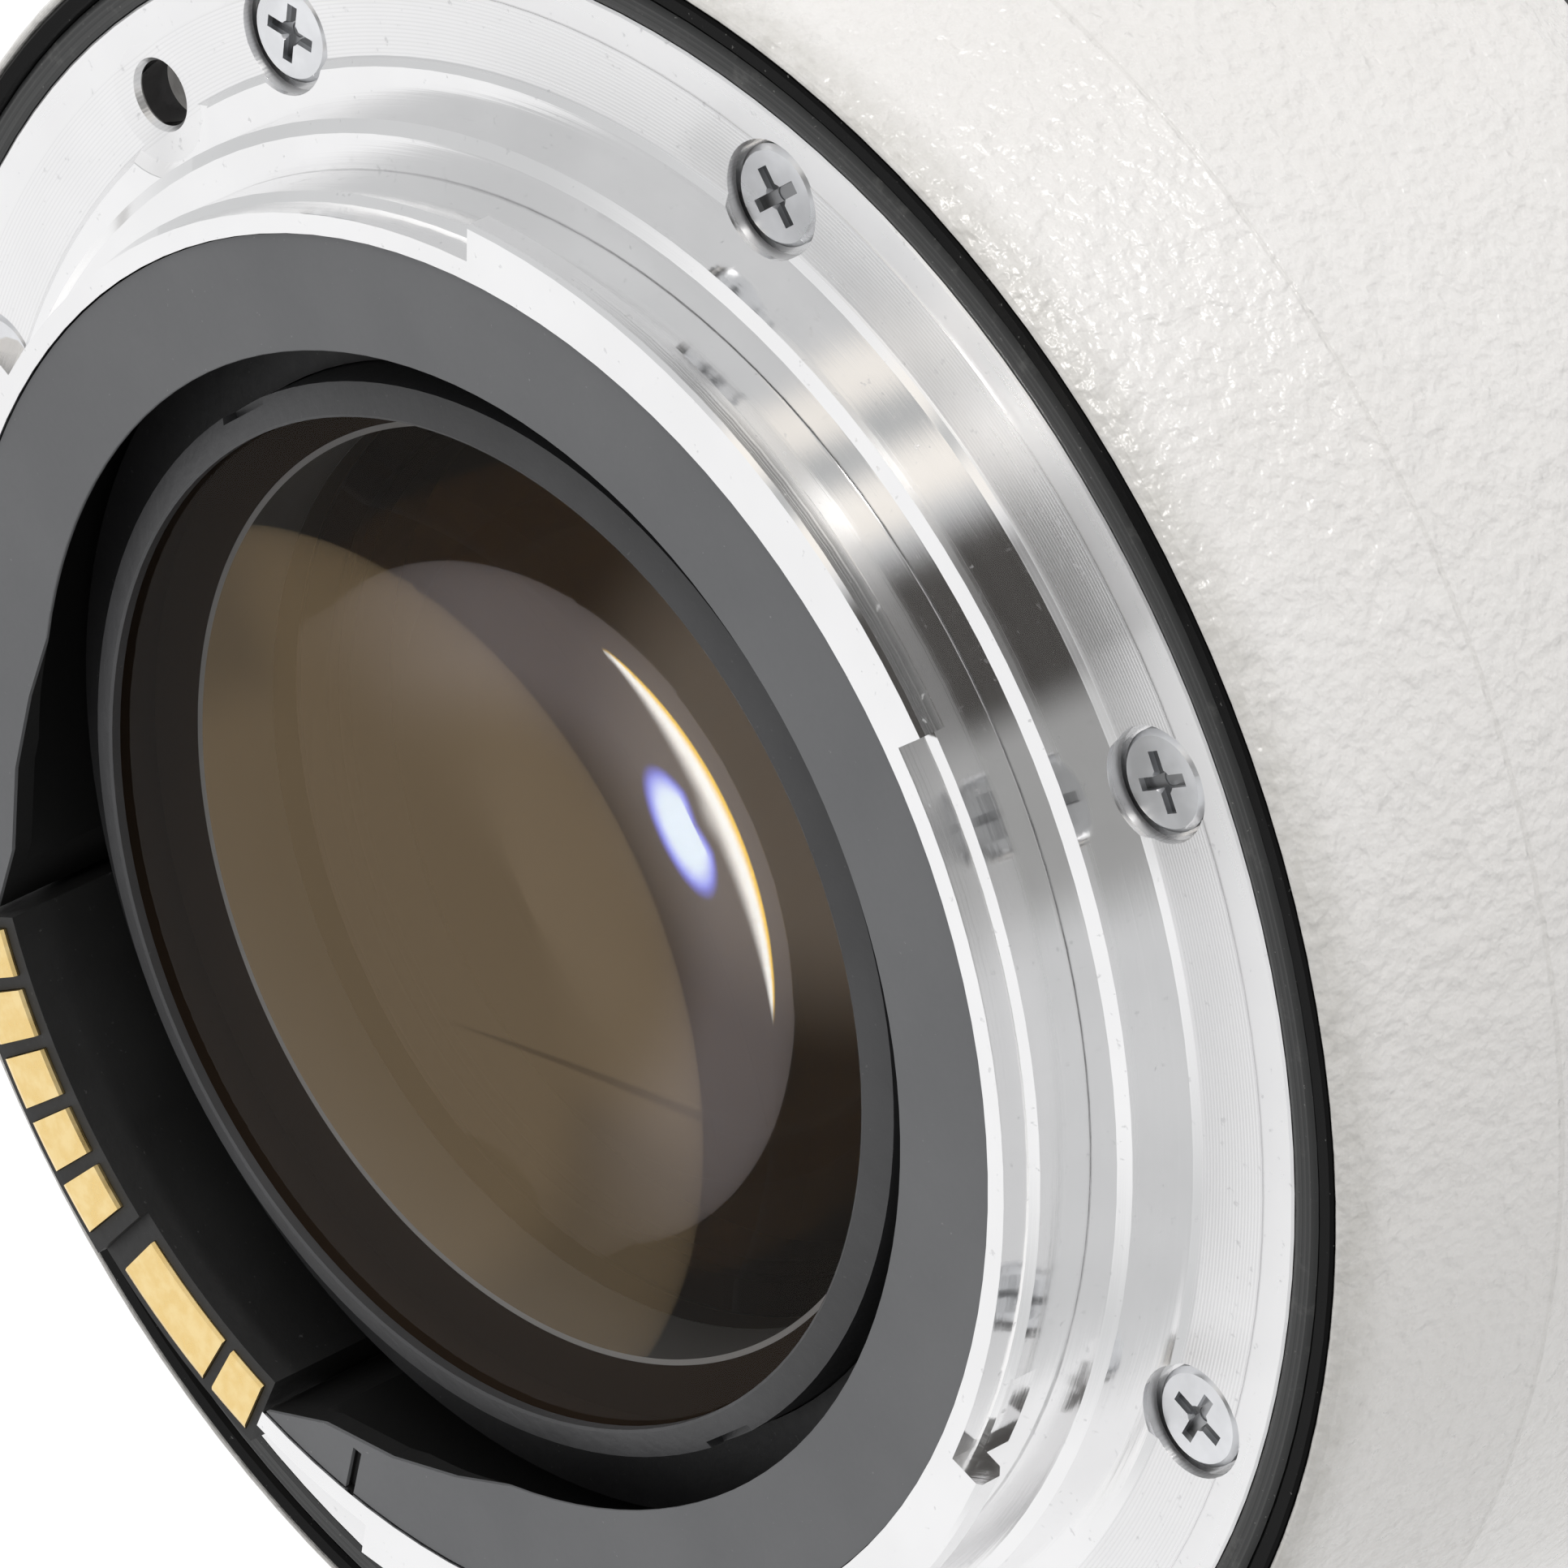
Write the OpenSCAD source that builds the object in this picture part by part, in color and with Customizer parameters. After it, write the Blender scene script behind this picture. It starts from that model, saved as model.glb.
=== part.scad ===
// Camera teleconverter with a bayonet at each end.
// Millimetres. Z is the optical axis, camera side up; the front lens rim stands on z = 0.

/* [Overall] */
// Radius of the mount's throat; every other radius follows from it
throat_r = 27; // [25:0.1:30]
// Rear flange face to front mount face
mount_gap = 27.2; // [25:0.1:31]
// Reach of the front lens nose past the front mount face
nose_reach = 20; // [18.5:0.5:24]

/* [Rear mount] */
// Clearance of a pilot in its throat
mount_fit = 0.1; // [0.05:0.01:0.15]
// Width of the mounting flange outside the pilot
flange_w = 5.4; // [5.2:0.05:6.1]
// Thickness of the mounting flange
flange_t = 1.6; // [1.5:0.05:2]
// Width of the slightly lower outer band of the flange
band_w = 1.3; // [1:0.1:1.7]
// Width of the low step round the pilot
step_w = 1.6; // [1.4:0.05:1.8]
// Height of that step
step_h = 0.25; // [0.15:0.05:0.4]
// Height of the pilot above the flange face
pilot_h = 1.95; // [1.7:0.05:2.2]
// Step in radius from the pilot to the bayonet tube
tube_step = 1.65; // [1.5:0.05:1.8]
// Height of the bayonet tube above the flange face
tube_h = 5.55; // [5:0.05:6.2]
// Wall of the bayonet tube
tube_wall = 1; // [0.9:0.05:1.2]
// Reach of the bayonet lugs past the tube
lug_reach = 1.02; // [0.9:0.02:1.15]
// Thickness of the bayonet lugs
lug_t = 1.25; // [1.1:0.05:1.4]
// Azimuth where the first lug starts
lug_start = 268.7; // [266:0.1:271]
// Arc of the first lug
lug_arc = 52.3; // [50:0.1:54]
// Arc of the widest lug
lug_wide_arc = 76.8; // [75:0.1:78]
// Arc of the three gaps between lugs
lug_gap = 60.4; // [59:0.1:60.6]
// Depth of the milled wall between lugs, measured into the tube
recess_cut = 0.3; // [0.2:0.02:0.4]
// Depth of the milled wall below the tube face
recess_drop = 1.36; // [1.2:0.02:1.6]
// Distance of the screw circle and of the lock pin from the flange edge
screw_inset = 2.8; // [2.5:0.05:3.1]
// Azimuth of the first flange screw
screw_start = 350; // [348:0.5:352]
// Screw head radius
head_r = 1.75; // [1.6:0.05:1.95]
// Screw head height
head_h = 0.7; // [0.6:0.05:0.8]
// Depth of the screw heads below the flange face
head_drop = 0.2; // [0.15:0.05:0.25]
// Screw shank radius
shank_r = 0.8; // [0.7:0.05:0.9]
// Azimuth of the lock pin
lock_az = 5; // [3:0.5:7]

/* [Rear contacts and baffle] */
// Azimuth where the contact block starts
block_start = 72.2; // [71.9:0.1:73]
// Arc of the contact block
block_arc = 46.1; // [45.6:0.1:48]
// Arc of the raised part of the contact block
block_high_arc = 27.6; // [26.5:0.1:28.4]
// Step in radius from the tube to the contact block
block_step = 0.9; // [0.8:0.05:1]
// Radial depth of the contact block
block_w = 3.1; // [2.8:0.05:3.4]
// Rise of the raised contacts above the tube face
pad_rise = 0.3; // [0.2:0.05:0.4]
// Drop of the low contacts below the tube face
pad_fall = 0.15; // [0.1:0.05:0.25]
// Radial length of a contact
pad_len = 2.4; // [2.1:0.05:2.65]
// Arc of a small contact
pad_arc = 4.05; // [3.7:0.05:4.3]
// Angular pitch of the small contacts
pad_pitch = 5.25; // [5:0.02:5.35]
// Width of the rear baffle inside the tube
baffle_w = 4.05; // [3.7:0.05:4.5]
// Depth of the baffle face below the tube face
baffle_drop = 0.1; // [0.05:0.05:0.25]

/* [Barrel] */
// Width of the rubber gasket round the flange
gasket_w = 0.93; // [0.8:0.01:1.05]
// Width of the gloss trim ring
trim_w = 0.7; // [0.6:0.01:0.8]
// Depth of the barrel rim below the flange face
rim_drop = 0.05; // [0.03:0.01:0.15]
// Growth of the barrel from its rear rim to its full radius
barrel_swell = 1.92; // [1.7:0.02:2.6]
// Length of the flared rear part of the barrel
flare_l = 8.6; // [7.6:0.1:9.8]
// Thickness of the rear web that carries the rear mount
web_t = 3; // [2.7:0.1:3.4]

/* [Lens elements] */
// Step in radius from the baffle to the rear element
rear_inset = 2; // [1.8:0.05:2.3]
// Step in radius from the rear element to the elements behind it
inner_inset = 1.9; // [1.6:0.05:2.2]
// Step in radius from the rear element to the middle and front groups
front_inset = 2.6; // [2.3:0.05:3]
// Depth of the rear element's edge below the tube face
glass_drop = 1.35; // [1.2:0.05:1.5]
// Radius of curvature over semi-diameter, rear face of the seventh element
bend_1 = 19.2; // [15:0.1:26]
// The same between the seventh and sixth elements
bend_2 = 2.75; // [2.4:0.05:3.1]
// The same between the sixth and fifth elements
bend_3 = 2.33; // [2.1:0.01:2.7]
// The same for the front face of the fifth element
bend_4 = 2.09; // [1.9:0.01:2.4]
// The same for the rear face of the fourth element
bend_5 = 3.85; // [3.4:0.05:4.4]
// The same between the fourth and third elements
bend_6 = 1.92; // [1.75:0.01:2.2]
// The same between the third and second elements
bend_7 = 2.05; // [1.85:0.01:2.3]
// The same for the front face of the second element
bend_8 = 2.9; // [2.6:0.05:3.3]
// The same for the rear face of the first element
bend_9 = 5.1; // [4.5:0.1:5.8]
// The same for the front face of the first element
bend_10 = 3.2; // [2.8:0.1:3.6]
// Edge thickness of the seventh element
edge_7 = 5.25; // [4.7:0.05:5.9]
// Centre thickness of the sixth element
thick_6 = 1.7; // [1.4:0.1:2]
// Edge thickness of the fifth element
edge_5 = 2.5; // [2.2:0.1:2.8]
// Air between the rear and middle groups
air_gap_1 = 4; // [3.6:0.1:4.6]
// Centre thickness of the fourth element
thick_4 = 1.5; // [1.2:0.1:2]
// Edge thickness of the third element
edge_3 = 1.2; // [1:0.1:1.6]
// Centre thickness of the second element
thick_2 = 1.5; // [1.2:0.1:2]
// Air between the middle and front groups
air_gap_2 = 4.3; // [3.9:0.1:4.9]
// Edge thickness of the first element
edge_1 = 2.8; // [2.4:0.1:3.2]
// Wall of the front nose round its glass
nose_wall = 3.8; // [3.4:0.1:4]

/* [Front mount] */
// Thickness of the front mount flange
front_flange_t = 1.6; // [1.5:0.05:1.8]
// Thickness of the leaf springs behind the front lugs
leaf_t = 0.2; // [0.15:0.01:0.25]

/* [Lock] */
// Radius of the lock pin
pin_r = 1; // [0.9:0.02:1.1]
// Reach of the lock pin past the front mount face
pin_reach = 1.9; // [1.6:0.1:2.2]
// Travel of the lock pin
pin_lift = 2.2; // [1.9:0.05:2.5]
// Turn of the release lever
lever_turn = 8; // [7.5:0.1:8.5]
// Azimuth of the middle of the lever's grip
grip_az = 36; // [35:0.5:38]
// Arc of the lever's grip
grip_arc = 24; // [22:0.5:26]
// Mean radius of the lock spring
coil_r = 1.6; // [1.45:0.01:1.8]
// Wire radius of the lock spring
wire_r = 0.2; // [0.18:0.01:0.22]
// Turns of the lock spring
coil_turns = 6; // [5:1:6]

/* [Front contacts] */
// Distance of the spring contacts from the outside of their block
contact_inset = 1.6; // [1.4:0.05:1.8]
// Radius of a spring contact
contact_pin_r = 0.45; // [0.4:0.01:0.5]
// Reach of the spring contacts past the block
contact_reach = 1.4; // [1.25:0.05:1.6]
// Travel of the spring contacts
contact_travel = 1; // [0.9:0.05:1.1]

/* [Hidden] */
$fn = 96;
// Fits: fixed pieces, running pieces, clear air, cement
fit = 0.05;
run = 0.05;
air = 0.3;
cement = 0.02;

// Radii of the rear mount, from the throat inwards and outwards
pilot_r = throat_r - mount_fit;
tube_r = pilot_r - tube_step;
tube_in_r = tube_r - tube_wall;
lug_r = tube_r + lug_reach;
recess_r = tube_r - recess_cut;
step_r = pilot_r + step_w;
flange_r = pilot_r + flange_w;
band_r = flange_r - band_w;
screw_circle_r = flange_r - screw_inset;
block_r = tube_r + block_step;
baffle_in_r = tube_in_r - baffle_w;
rear_semi = baffle_in_r - rear_inset;
inner_semi = rear_semi - inner_inset;
front_semi = rear_semi - front_inset;
nose_r = front_semi + nose_wall;
hub_r = screw_circle_r - shank_r - 0.5;

// Heights measured from the rear flange face, which lies at flange_z
flange_z = mount_gap + nose_reach;
front_z = -mount_gap;
nose_z = -flange_z;
ledge_z = -flange_t;
web_z = ledge_z - web_t;
front_web_depth = tube_h + 1.15;
front_web_z = front_z + front_web_depth;
front_seat_z = front_z + front_flange_t;

// Lugs as start and arc
lug_last_arc = 360 - 3 * lug_gap - lug_arc - lug_wide_arc;
lug_b = lug_start + lug_arc + lug_gap - 360;
lug_c = lug_b + lug_last_arc + lug_gap;
lugs = [[lug_start, lug_arc], [lug_b, lug_last_arc], [lug_c, lug_wide_arc]];
lug_edge = 0.14;
lug_under_edge = 0.3;
recess_foot_z = tube_h - recess_drop;

// Barrel
gasket_r = flange_r + fit;
trim_r = gasket_r + gasket_w + fit;
rim_r = trim_r + trim_w + fit;
barrel_r = rim_r + barrel_swell;
slide_r1 = screw_circle_r + coil_r + wire_r + 0.5;
slide_r2 = slide_r1 + 0.9;
inner_r = slide_r2 + air;
lip_step = 0.66;
lip_fall = 1.35;
boss_h = 3.4;
boss_arc = 12;
boss_w = 2;
dot_r = 1.25;
dot_t = 1;
dot_az = 50;
dot_z = -flare_l * 0.42;
flare_tilt = atan2(barrel_swell - lip_step, flare_l - rim_drop - lip_fall);
dot_skin_r = barrel_r - (dot_z + flare_l) * tan(flare_tilt);
screw_turns = [55, 55, 88, 80, 30, 62, 15, 73];
pocket_arc = 7.8;

// Contacts
block_in_r = block_r - block_w;
pad_high = tube_h + pad_rise;
pad_low = tube_h - pad_fall;
block_low_z = pad_low - 0.15;
block_high_z = pad_high - 0.2;
pad_t = 0.5;
pad_r2 = block_r - 0.2;
pad_r1 = pad_r2 - pad_len;
pad_first = block_start + 3;
wide_az = block_start + 34.95;
wide_arc = 10.3;
last_az = block_start + 43.25;
baffle_cut_az = 5.5;
baffle_notch_az = 129;
// Outline of the gap in the baffle as step in radius and angle from its middle
baffle_cut = [[-0.2, 57], [0.66, 45.6], [1.5, 37.5], [2.3, 29.3], [5, 20.5]];
function baffle_cut_point(c, side) =
    let (r = baffle_in_r + c[0]) [side * r * sin(c[1]), r * cos(c[1])];
baffle_cut_left = [for (c = baffle_cut) baffle_cut_point(c, -1)];
baffle_cut_right = [for (k = [len(baffle_cut) - 1:-1:0]) baffle_cut_point(baffle_cut[k], 1)];

// Optical surfaces: height of each vertex on the axis
function sag(c, r) = c - sqrt(c * c - r * r);
function ball_fn(c) = c > 150 ? 480 : 180;
glass_edge_z = tube_h - glass_drop;
curve_1 = bend_1 * rear_semi;
curve_2 = bend_2 * rear_semi;
curve_3 = bend_3 * inner_semi;
curve_4 = bend_4 * inner_semi;
curve_5 = bend_5 * front_semi;
curve_6 = bend_6 * front_semi;
curve_7 = bend_7 * front_semi;
curve_8 = bend_8 * front_semi;
curve_9 = bend_9 * front_semi;
curve_10 = bend_10 * front_semi;
s1 = glass_edge_z + sag(curve_1, rear_semi);
s2 = glass_edge_z - edge_7 - sag(curve_2, rear_semi);
s3 = s2 - thick_6;
s4 = s3 - sag(curve_3, inner_semi) - edge_5 - sag(curve_4, inner_semi);
s5 = s4 - air_gap_1;
s6 = s5 - thick_4;
s7 = s6 - sag(curve_6, front_semi) - edge_3 - sag(curve_7, front_semi);
s8 = s7 - thick_2;
s9 = s8 - air_gap_2;
s10 = s9 - sag(curve_9, front_semi) - edge_1 - sag(curve_10, front_semi);

// Cells
ring_lip_r = rear_semi - 0.55;
ring_out_r = rear_semi + 0.55;
ring_top_z = glass_edge_z + 0.47;
ring_fall = 0.42;
ring_lip_z = s1 - sag(curve_1, ring_lip_r) + cement;
ring_low_z = glass_edge_z - 3.4;
ring_bore_r = ring_out_r + fit;
cell_wall = 2.8;
cell_r = ring_bore_r + cell_wall;
web_in_r = cell_r + 0.4;
cell_top_z = tube_h - 3.4;
shelf_z = s2 + sag(curve_2, inner_semi) - 0.1;
lip_r = inner_semi - 1.2;
lip_z = s4 + sag(curve_4, lip_r) - cement;
lip_t = 1.2;
socket_r = front_semi + 2.7;
socket_top_z = lip_z - lip_t;
socket_depth = 2.8;
cell_low_z = socket_top_z - socket_depth;
seat_z = s5 + sag(curve_5, front_semi) + cement;
seat_r = front_semi - 1;
front_bore_r = front_semi + fit;
spacer_top_z = s8 - sag(curve_8, front_semi) - cement;
spacer_in_r = front_semi - 1.2;
spacer_low_z = s9 - sag(curve_9, spacer_in_r) + cement;
front_ring_in_r = front_semi - 1;
front_ring_r = front_semi + 1.3;
front_ring_z = s10 + sag(curve_10, front_ring_in_r) - cement;
front_ring_t = 1.6;
slot_w = 1.2;
board_w = 4.7;
board_t = 1;
board_az = 112;
board_arc = 218;
board_r = inner_r - 0.4;
cell_flange_r = board_r - board_w - 0.5;
cell_flange_t = 1.6;
cell_screw_r = cell_flange_r - 2.5;
cell_screw_az = 30;
cell_screw_l = cell_flange_t + 2.8;
cell_screw_turn = 20;

// Front mount
throat_depth = pilot_h + 0.1;
front_lug_in_r = tube_r + 0.2;
front_gap_r = lug_r + 0.2;
front_back_z = front_z + tube_h - lug_t - leaf_t - 0.05;
front_lug_arc = lug_gap - 1;
front_screw_az = 50;
front_screw_l = front_flange_t + 3.4;
front_screw_turns = [15, 46, 77, 18];
front_dot_r = screw_circle_r + 0.6;
front_dot_az = 110;
leaf_end_arc = 6;

// Lock
lever_rest_gap = 0.2;
slide_z1 = front_web_z + lever_rest_gap;
slide_h = pin_lift + 1.9;
slide_end_arc = 4.5;
slide_far_arc = 8;
peg_r = 0.55;
peg_air = 0.22;
collar_r = coil_r + wire_r - 0.05;
collar_z = front_web_z + 0.1;
collar_h = 2;
peg_z = collar_z + collar_h / 2;
coil_low_z = collar_z + collar_h;
coil_l = 6.1;
boss_z = coil_low_z + coil_l;
grip_r1 = barrel_r + air;
grip_r2 = grip_r1 + 1.3;
grip_h = 7.6;
neck_arc = 8;
neck_h = 2.6;
neck_z = slide_z1 + 0.7;
slide_mid_r = (slide_r1 + slide_r2) / 2;
slot_run = slide_mid_r * sin(lever_turn);

// Front contacts
shield_t = 1;
shield_top_z = front_web_z + shield_t;
shield_r = front_gap_r + 1.15;
nose_shoulder = 0.35;
nose_taper_l = 6;
contact_r = block_r - contact_inset;
front_block_trim = 0.3;
front_block_side = 1.6;
front_low_az = wide_az - wide_arc / 2 - 0.45;
front_block_low_z = front_web_z - 0.4;
front_block_drop = pad_high - pad_low;
front_block_h = 3;
front_block_top_z = shield_top_z + front_block_h;
contact_step_z = front_web_z + 1.6;
contact_azs = [for (k = [0:4]) pad_first + k * pad_pitch, wide_az - 2.6, wide_az + 2.6, last_az];
flex_r = block_r + 0.55;
flex_t = 0.15;
flex_az = 88;
flex_arc = 18;
flex_slot_az = flex_az - 3;
flex_slot_arc = flex_arc + 6;
flex_tail = 2;

module up() {
    translate([0, 0, flange_z]) children();
}

module polar(r, a, z = 0) {
    rotate([0, 0, a]) translate([r, 0, z]) children();
}

module ring(r1, r2, z1, z2) {
    rotate_extrude() polygon([[r1, z1], [r2, z1], [r2, z2], [r1, z2]]);
}

module arc(r1, r2, z1, z2, a, sweep) {
    rotate([0, 0, a]) rotate_extrude(angle = sweep)
        polygon([[r1, z1], [r2, z1], [r2, z2], [r1, z2]]);
}

// A pan screw pointing down from z = 0, with a cross recess
module screw(length, turn) {
    edge = 0.18;
    difference() {
        union() {
            translate([0, 0, -head_h]) cylinder(r = head_r, h = head_h - edge);
            translate([0, 0, -edge]) cylinder(r1 = head_r, r2 = head_r - edge, h = edge);
            translate([0, 0, -length]) cylinder(r = shank_r, h = length - head_h + 0.1);
        }
        rotate([0, 0, turn]) {
            translate([-head_r * 0.6, -0.22, -0.4]) cube([head_r * 1.2, 0.44, 1]);
            translate([-0.22, -head_r * 0.6, -0.4]) cube([0.44, head_r * 1.2, 1]);
            translate([0, 0, -0.45]) cylinder(r1 = 0.25, r2 = 0.5, h = 0.6);
        }
    }
}

// A lens element between two vertices; a positive curve bulges outwards
module element(r, z_front, c_front, z_rear, c_rear) {
    low = z_front + (c_front > 0 ? 0 : -sag(-c_front, r));
    high = z_rear + (c_rear > 0 ? 0 : sag(-c_rear, r));
    difference() {
        intersection() {
            translate([0, 0, low]) cylinder(r = r, h = high - low);
            if (c_rear > 0) translate([0, 0, z_rear - c_rear]) sphere(r = c_rear, $fn = ball_fn(c_rear));
            if (c_front > 0) translate([0, 0, z_front + c_front]) sphere(r = c_front, $fn = ball_fn(c_front));
        }
        if (c_rear < 0) translate([0, 0, z_rear - c_rear]) sphere(r = -c_rear, $fn = ball_fn(-c_rear));
        if (c_front < 0) translate([0, 0, z_front + c_front]) sphere(r = -c_front, $fn = ball_fn(-c_front));
    }
}

// A lug with bevelled edges and a root that fills the milled step below it
module rear_lug(start, sweep) {
    low = tube_h - lug_t;
    root = recess_foot_z - 0.3;
    rotate([0, 0, start]) rotate_extrude(angle = sweep) polygon([
        [tube_in_r + 0.2, root], [tube_r - 0.01, root], [tube_r - 0.01, low],
        [lug_r - lug_under_edge, low], [lug_r, low + lug_under_edge],
        [lug_r, tube_h - lug_edge], [lug_r - lug_edge, tube_h], [tube_in_r + 0.2, tube_h]]);
}

module rear_screw_places() {
    for (k = [0:7]) polar(screw_circle_r, screw_start - 45 * k) children();
}

module rear_mount() color("silver") up() difference() {
    union() {
        rotate_extrude() polygon([
            [tube_in_r, ledge_z], [flange_r - 0.1, ledge_z], [flange_r, ledge_z + 0.1],
            [flange_r, -0.12], [flange_r - 0.08, -0.05], [band_r, -0.05], [band_r, 0],
            [step_r, 0], [step_r - 0.3, step_h], [pilot_r, step_h],
            [pilot_r, pilot_h - 0.28], [pilot_r - 0.42, pilot_h],
            [tube_r - 0.07, pilot_h], [tube_r - 0.07, pilot_h + 0.1], [tube_r, pilot_h + 0.12],
            [tube_r, recess_foot_z], [recess_r, recess_foot_z + 0.2], [recess_r, tube_h],
            [tube_in_r, tube_h]]);
        for (l = lugs) rear_lug(l[0], l[1]);
    }
    // Deeper pocket beside the widest lug
    arc(recess_r + 0.02, tube_r + 0.4, recess_foot_z - 1, recess_foot_z + 0.08,
        lug_c + lug_wide_arc - 0.3, pocket_arc);
    // Place of the contact block
    arc(tube_in_r - 1, block_r + 0.1, ledge_z - 1, tube_h + 1, block_start - 0.4, block_arc + 0.8);
    rear_screw_places() {
        translate([0, 0, -head_drop - head_h]) cylinder(r = head_r + 0.25, h = 3);
        translate([0, 0, ledge_z - 1]) cylinder(r = shank_r + 0.1, h = 3);
    }
    polar(screw_circle_r, lock_az) rotate_extrude() polygon([
        [0, ledge_z - 1], [pin_r + 0.15, ledge_z - 1], [pin_r + 0.15, -0.4],
        [pin_r + 0.3, -0.2], [pin_r + 1.05, 0], [pin_r + 1.8, 0.2], [pin_r + 1.8, 1], [0, 1]]);
}

module rear_mount_screws() color("gainsboro") up() for (k = [0:7])
    polar(screw_circle_r, screw_start - 45 * k, -head_drop)
        screw(web_t + flange_t - 0.6, screw_turns[k]);

module rear_gasket() color("#222222") up() rotate_extrude() polygon([
    [gasket_r, ledge_z], [gasket_r + gasket_w, ledge_z], [gasket_r + gasket_w, -0.2],
    [gasket_r + gasket_w * 0.8, -0.05], [gasket_r + gasket_w * 0.2, -0.04], [gasket_r, -0.12]]);

module rear_trim_ring() color("black") up() rotate_extrude() polygon([
    [trim_r, ledge_z], [trim_r + trim_w, ledge_z], [trim_r + trim_w, -0.1],
    [trim_r + trim_w * 0.85, -0.02], [trim_r + trim_w * 0.2, -0.05], [trim_r, -0.2]]);

module rear_index_place(extra) {
    polar(dot_skin_r, dot_az, dot_z) rotate([0, 90 - flare_tilt, 0])
        translate([0, 0, -dot_t - extra]) cylinder(r = dot_r + extra, h = dot_t + 0.08 + 20 * extra);
}

module rear_index_dot() color("red") up() rear_index_place(0);

module barrel() color("ivory") up() difference() {
    union() {
        rotate_extrude() polygon([
            [rim_r, ledge_z], [rim_r, -rim_drop - 0.15], [rim_r + 0.04, -rim_drop - 0.04],
            [rim_r + 0.1, -rim_drop], [rim_r + 0.18, -rim_drop - 0.02], [rim_r + 0.28, -rim_drop - 0.11],
            [rim_r + 0.42, -rim_drop - 0.35], [rim_r + 0.55, -rim_drop - 0.75],
            [rim_r + lip_step, -rim_drop - lip_fall], [barrel_r, -flare_l],
            [barrel_r, front_z + 3.6], [barrel_r - 0.25, front_z + 2.9], [barrel_r - 0.9, front_z + 0.9],
            [barrel_r - 1.2, front_z + 0.6], [flange_r + fit, front_z + 0.6],
            [flange_r + fit, front_seat_z], [hub_r + 0.15, front_seat_z],
            [hub_r + 0.15, front_web_z - 2], [front_gap_r + 0.15, front_web_z - 2],
            [front_gap_r + 0.15, front_web_z], [inner_r, front_web_z],
            [inner_r, web_z], [web_in_r, web_z], [web_in_r, ledge_z]]);
        // Boss that guides the lock pin
        arc(screw_circle_r - boss_w, inner_r + 0.5, boss_z, boss_z + boss_h,
            lock_az - boss_arc / 2, boss_arc);
    }
    rear_screw_places() translate([0, 0, web_z - 1]) cylinder(r = shank_r + fit, h = web_t + 2);
    polar(screw_circle_r, lock_az, ledge_z - 1.2) cylinder(r = pin_r + 0.15, h = 2);
    // Slot for the flexible cable
    arc(flex_r - 0.5, flex_r + flex_t + 0.5, web_z - 1, ledge_z + 1, flex_slot_az, flex_slot_arc);
    for (k = [0:2]) polar(cell_screw_r, cell_screw_az + 120 * k, web_z - 1)
        cylinder(r = shank_r + fit, h = cell_screw_l - 0.8);
    for (k = [0:3]) polar(screw_circle_r, front_screw_az + 90 * k, front_seat_z - 1)
        cylinder(r = shank_r + fit, h = 6);
    polar(screw_circle_r, lock_az, front_seat_z - 1) cylinder(r = pin_r + run, h = front_web_depth);
    polar(screw_circle_r, lock_az, boss_z - 1) cylinder(r = pin_r + run, h = boss_h + 2);
    // Window for the neck of the release lever
    arc(inner_r - 0.5, barrel_r + 1, neck_z - air, neck_z + neck_h + air,
        grip_az - neck_arc / 2 - 1, neck_arc + lever_turn + 2);
    rear_index_place(fit);
}

module rear_baffle() color("dimgray") up() difference() {
    top = tube_h - baffle_drop;
    rotate_extrude() polygon([
        [tube_in_r - 1.3, ledge_z], [tube_in_r - fit, ledge_z], [tube_in_r - fit, top],
        [baffle_in_r + 0.03, top], [baffle_in_r, top - 0.03], [baffle_in_r, top - 0.12],
        [baffle_in_r + 1.2, top - 0.9], [tube_in_r - 1.3, top - 0.9]]);
    // Gap for the contact block, widened towards the glass
    arc(block_in_r - 0.4, tube_in_r + 1, ledge_z - 1, top + 1, block_start - 0.6, block_arc + 1.2);
    rotate([0, 0, baffle_cut_az]) translate([0, 0, ledge_z - 1]) linear_extrude(top - ledge_z + 2)
        polygon(concat(baffle_cut_left, baffle_cut_right));
    rotate([0, 0, baffle_notch_az]) translate([tube_in_r - 1.8, -0.2, top - 0.3]) cube([3, 0.4, 1]);
}

module rear_pad(az, sweep, top, extra) {
    rotate([0, 0, az - sweep / 2]) rotate_extrude(angle = sweep) polygon([
        [pad_r1 - extra, top - pad_t - extra], [pad_r2 + extra, top - pad_t - extra],
        [pad_r2 + extra, top - 0.3], [pad_r2 + extra - 0.12, top - 0.1], [pad_r2 + extra - 0.35, top],
        [pad_r1 + 0.1 - extra, top], [pad_r1 - extra, top - 0.1]]);
}

module rear_pads(extra, turn) {
    for (k = [0:4]) rear_pad(pad_first + k * pad_pitch, pad_arc + turn, pad_high, extra);
    rear_pad(wide_az, wide_arc + turn, pad_low, extra);
    rear_pad(last_az, pad_arc + turn, pad_low, extra);
}

module rear_contact_block() color("#303030") up() difference() {
    union() {
        arc(block_in_r, block_r, ledge_z, block_low_z, block_start, block_arc);
        arc(block_in_r, block_r, block_low_z - 0.5, block_high_z, block_start, block_high_arc);
    }
    rear_pads(0.02, 0.1);
}

module rear_contact_pads() color("gold") up() rear_pads(0, 0);

module rear_retaining_ring() color("#2c2c2e") up() difference() {
    rotate_extrude() polygon([
        [rear_semi + fit, ring_low_z], [ring_out_r, ring_low_z], [ring_out_r, ring_top_z - ring_fall],
        [ring_lip_r + 0.1, ring_top_z], [ring_lip_r, ring_top_z - 0.06],
        [ring_lip_r, ring_lip_z], [rear_semi + fit, ring_lip_z]]);
    for (a = [0, 180]) rotate([0, 0, a]) translate([ring_out_r - 0.28, -slot_w, ring_top_z - 1])
        cube([3, 2 * slot_w, 2]);
}

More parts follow.
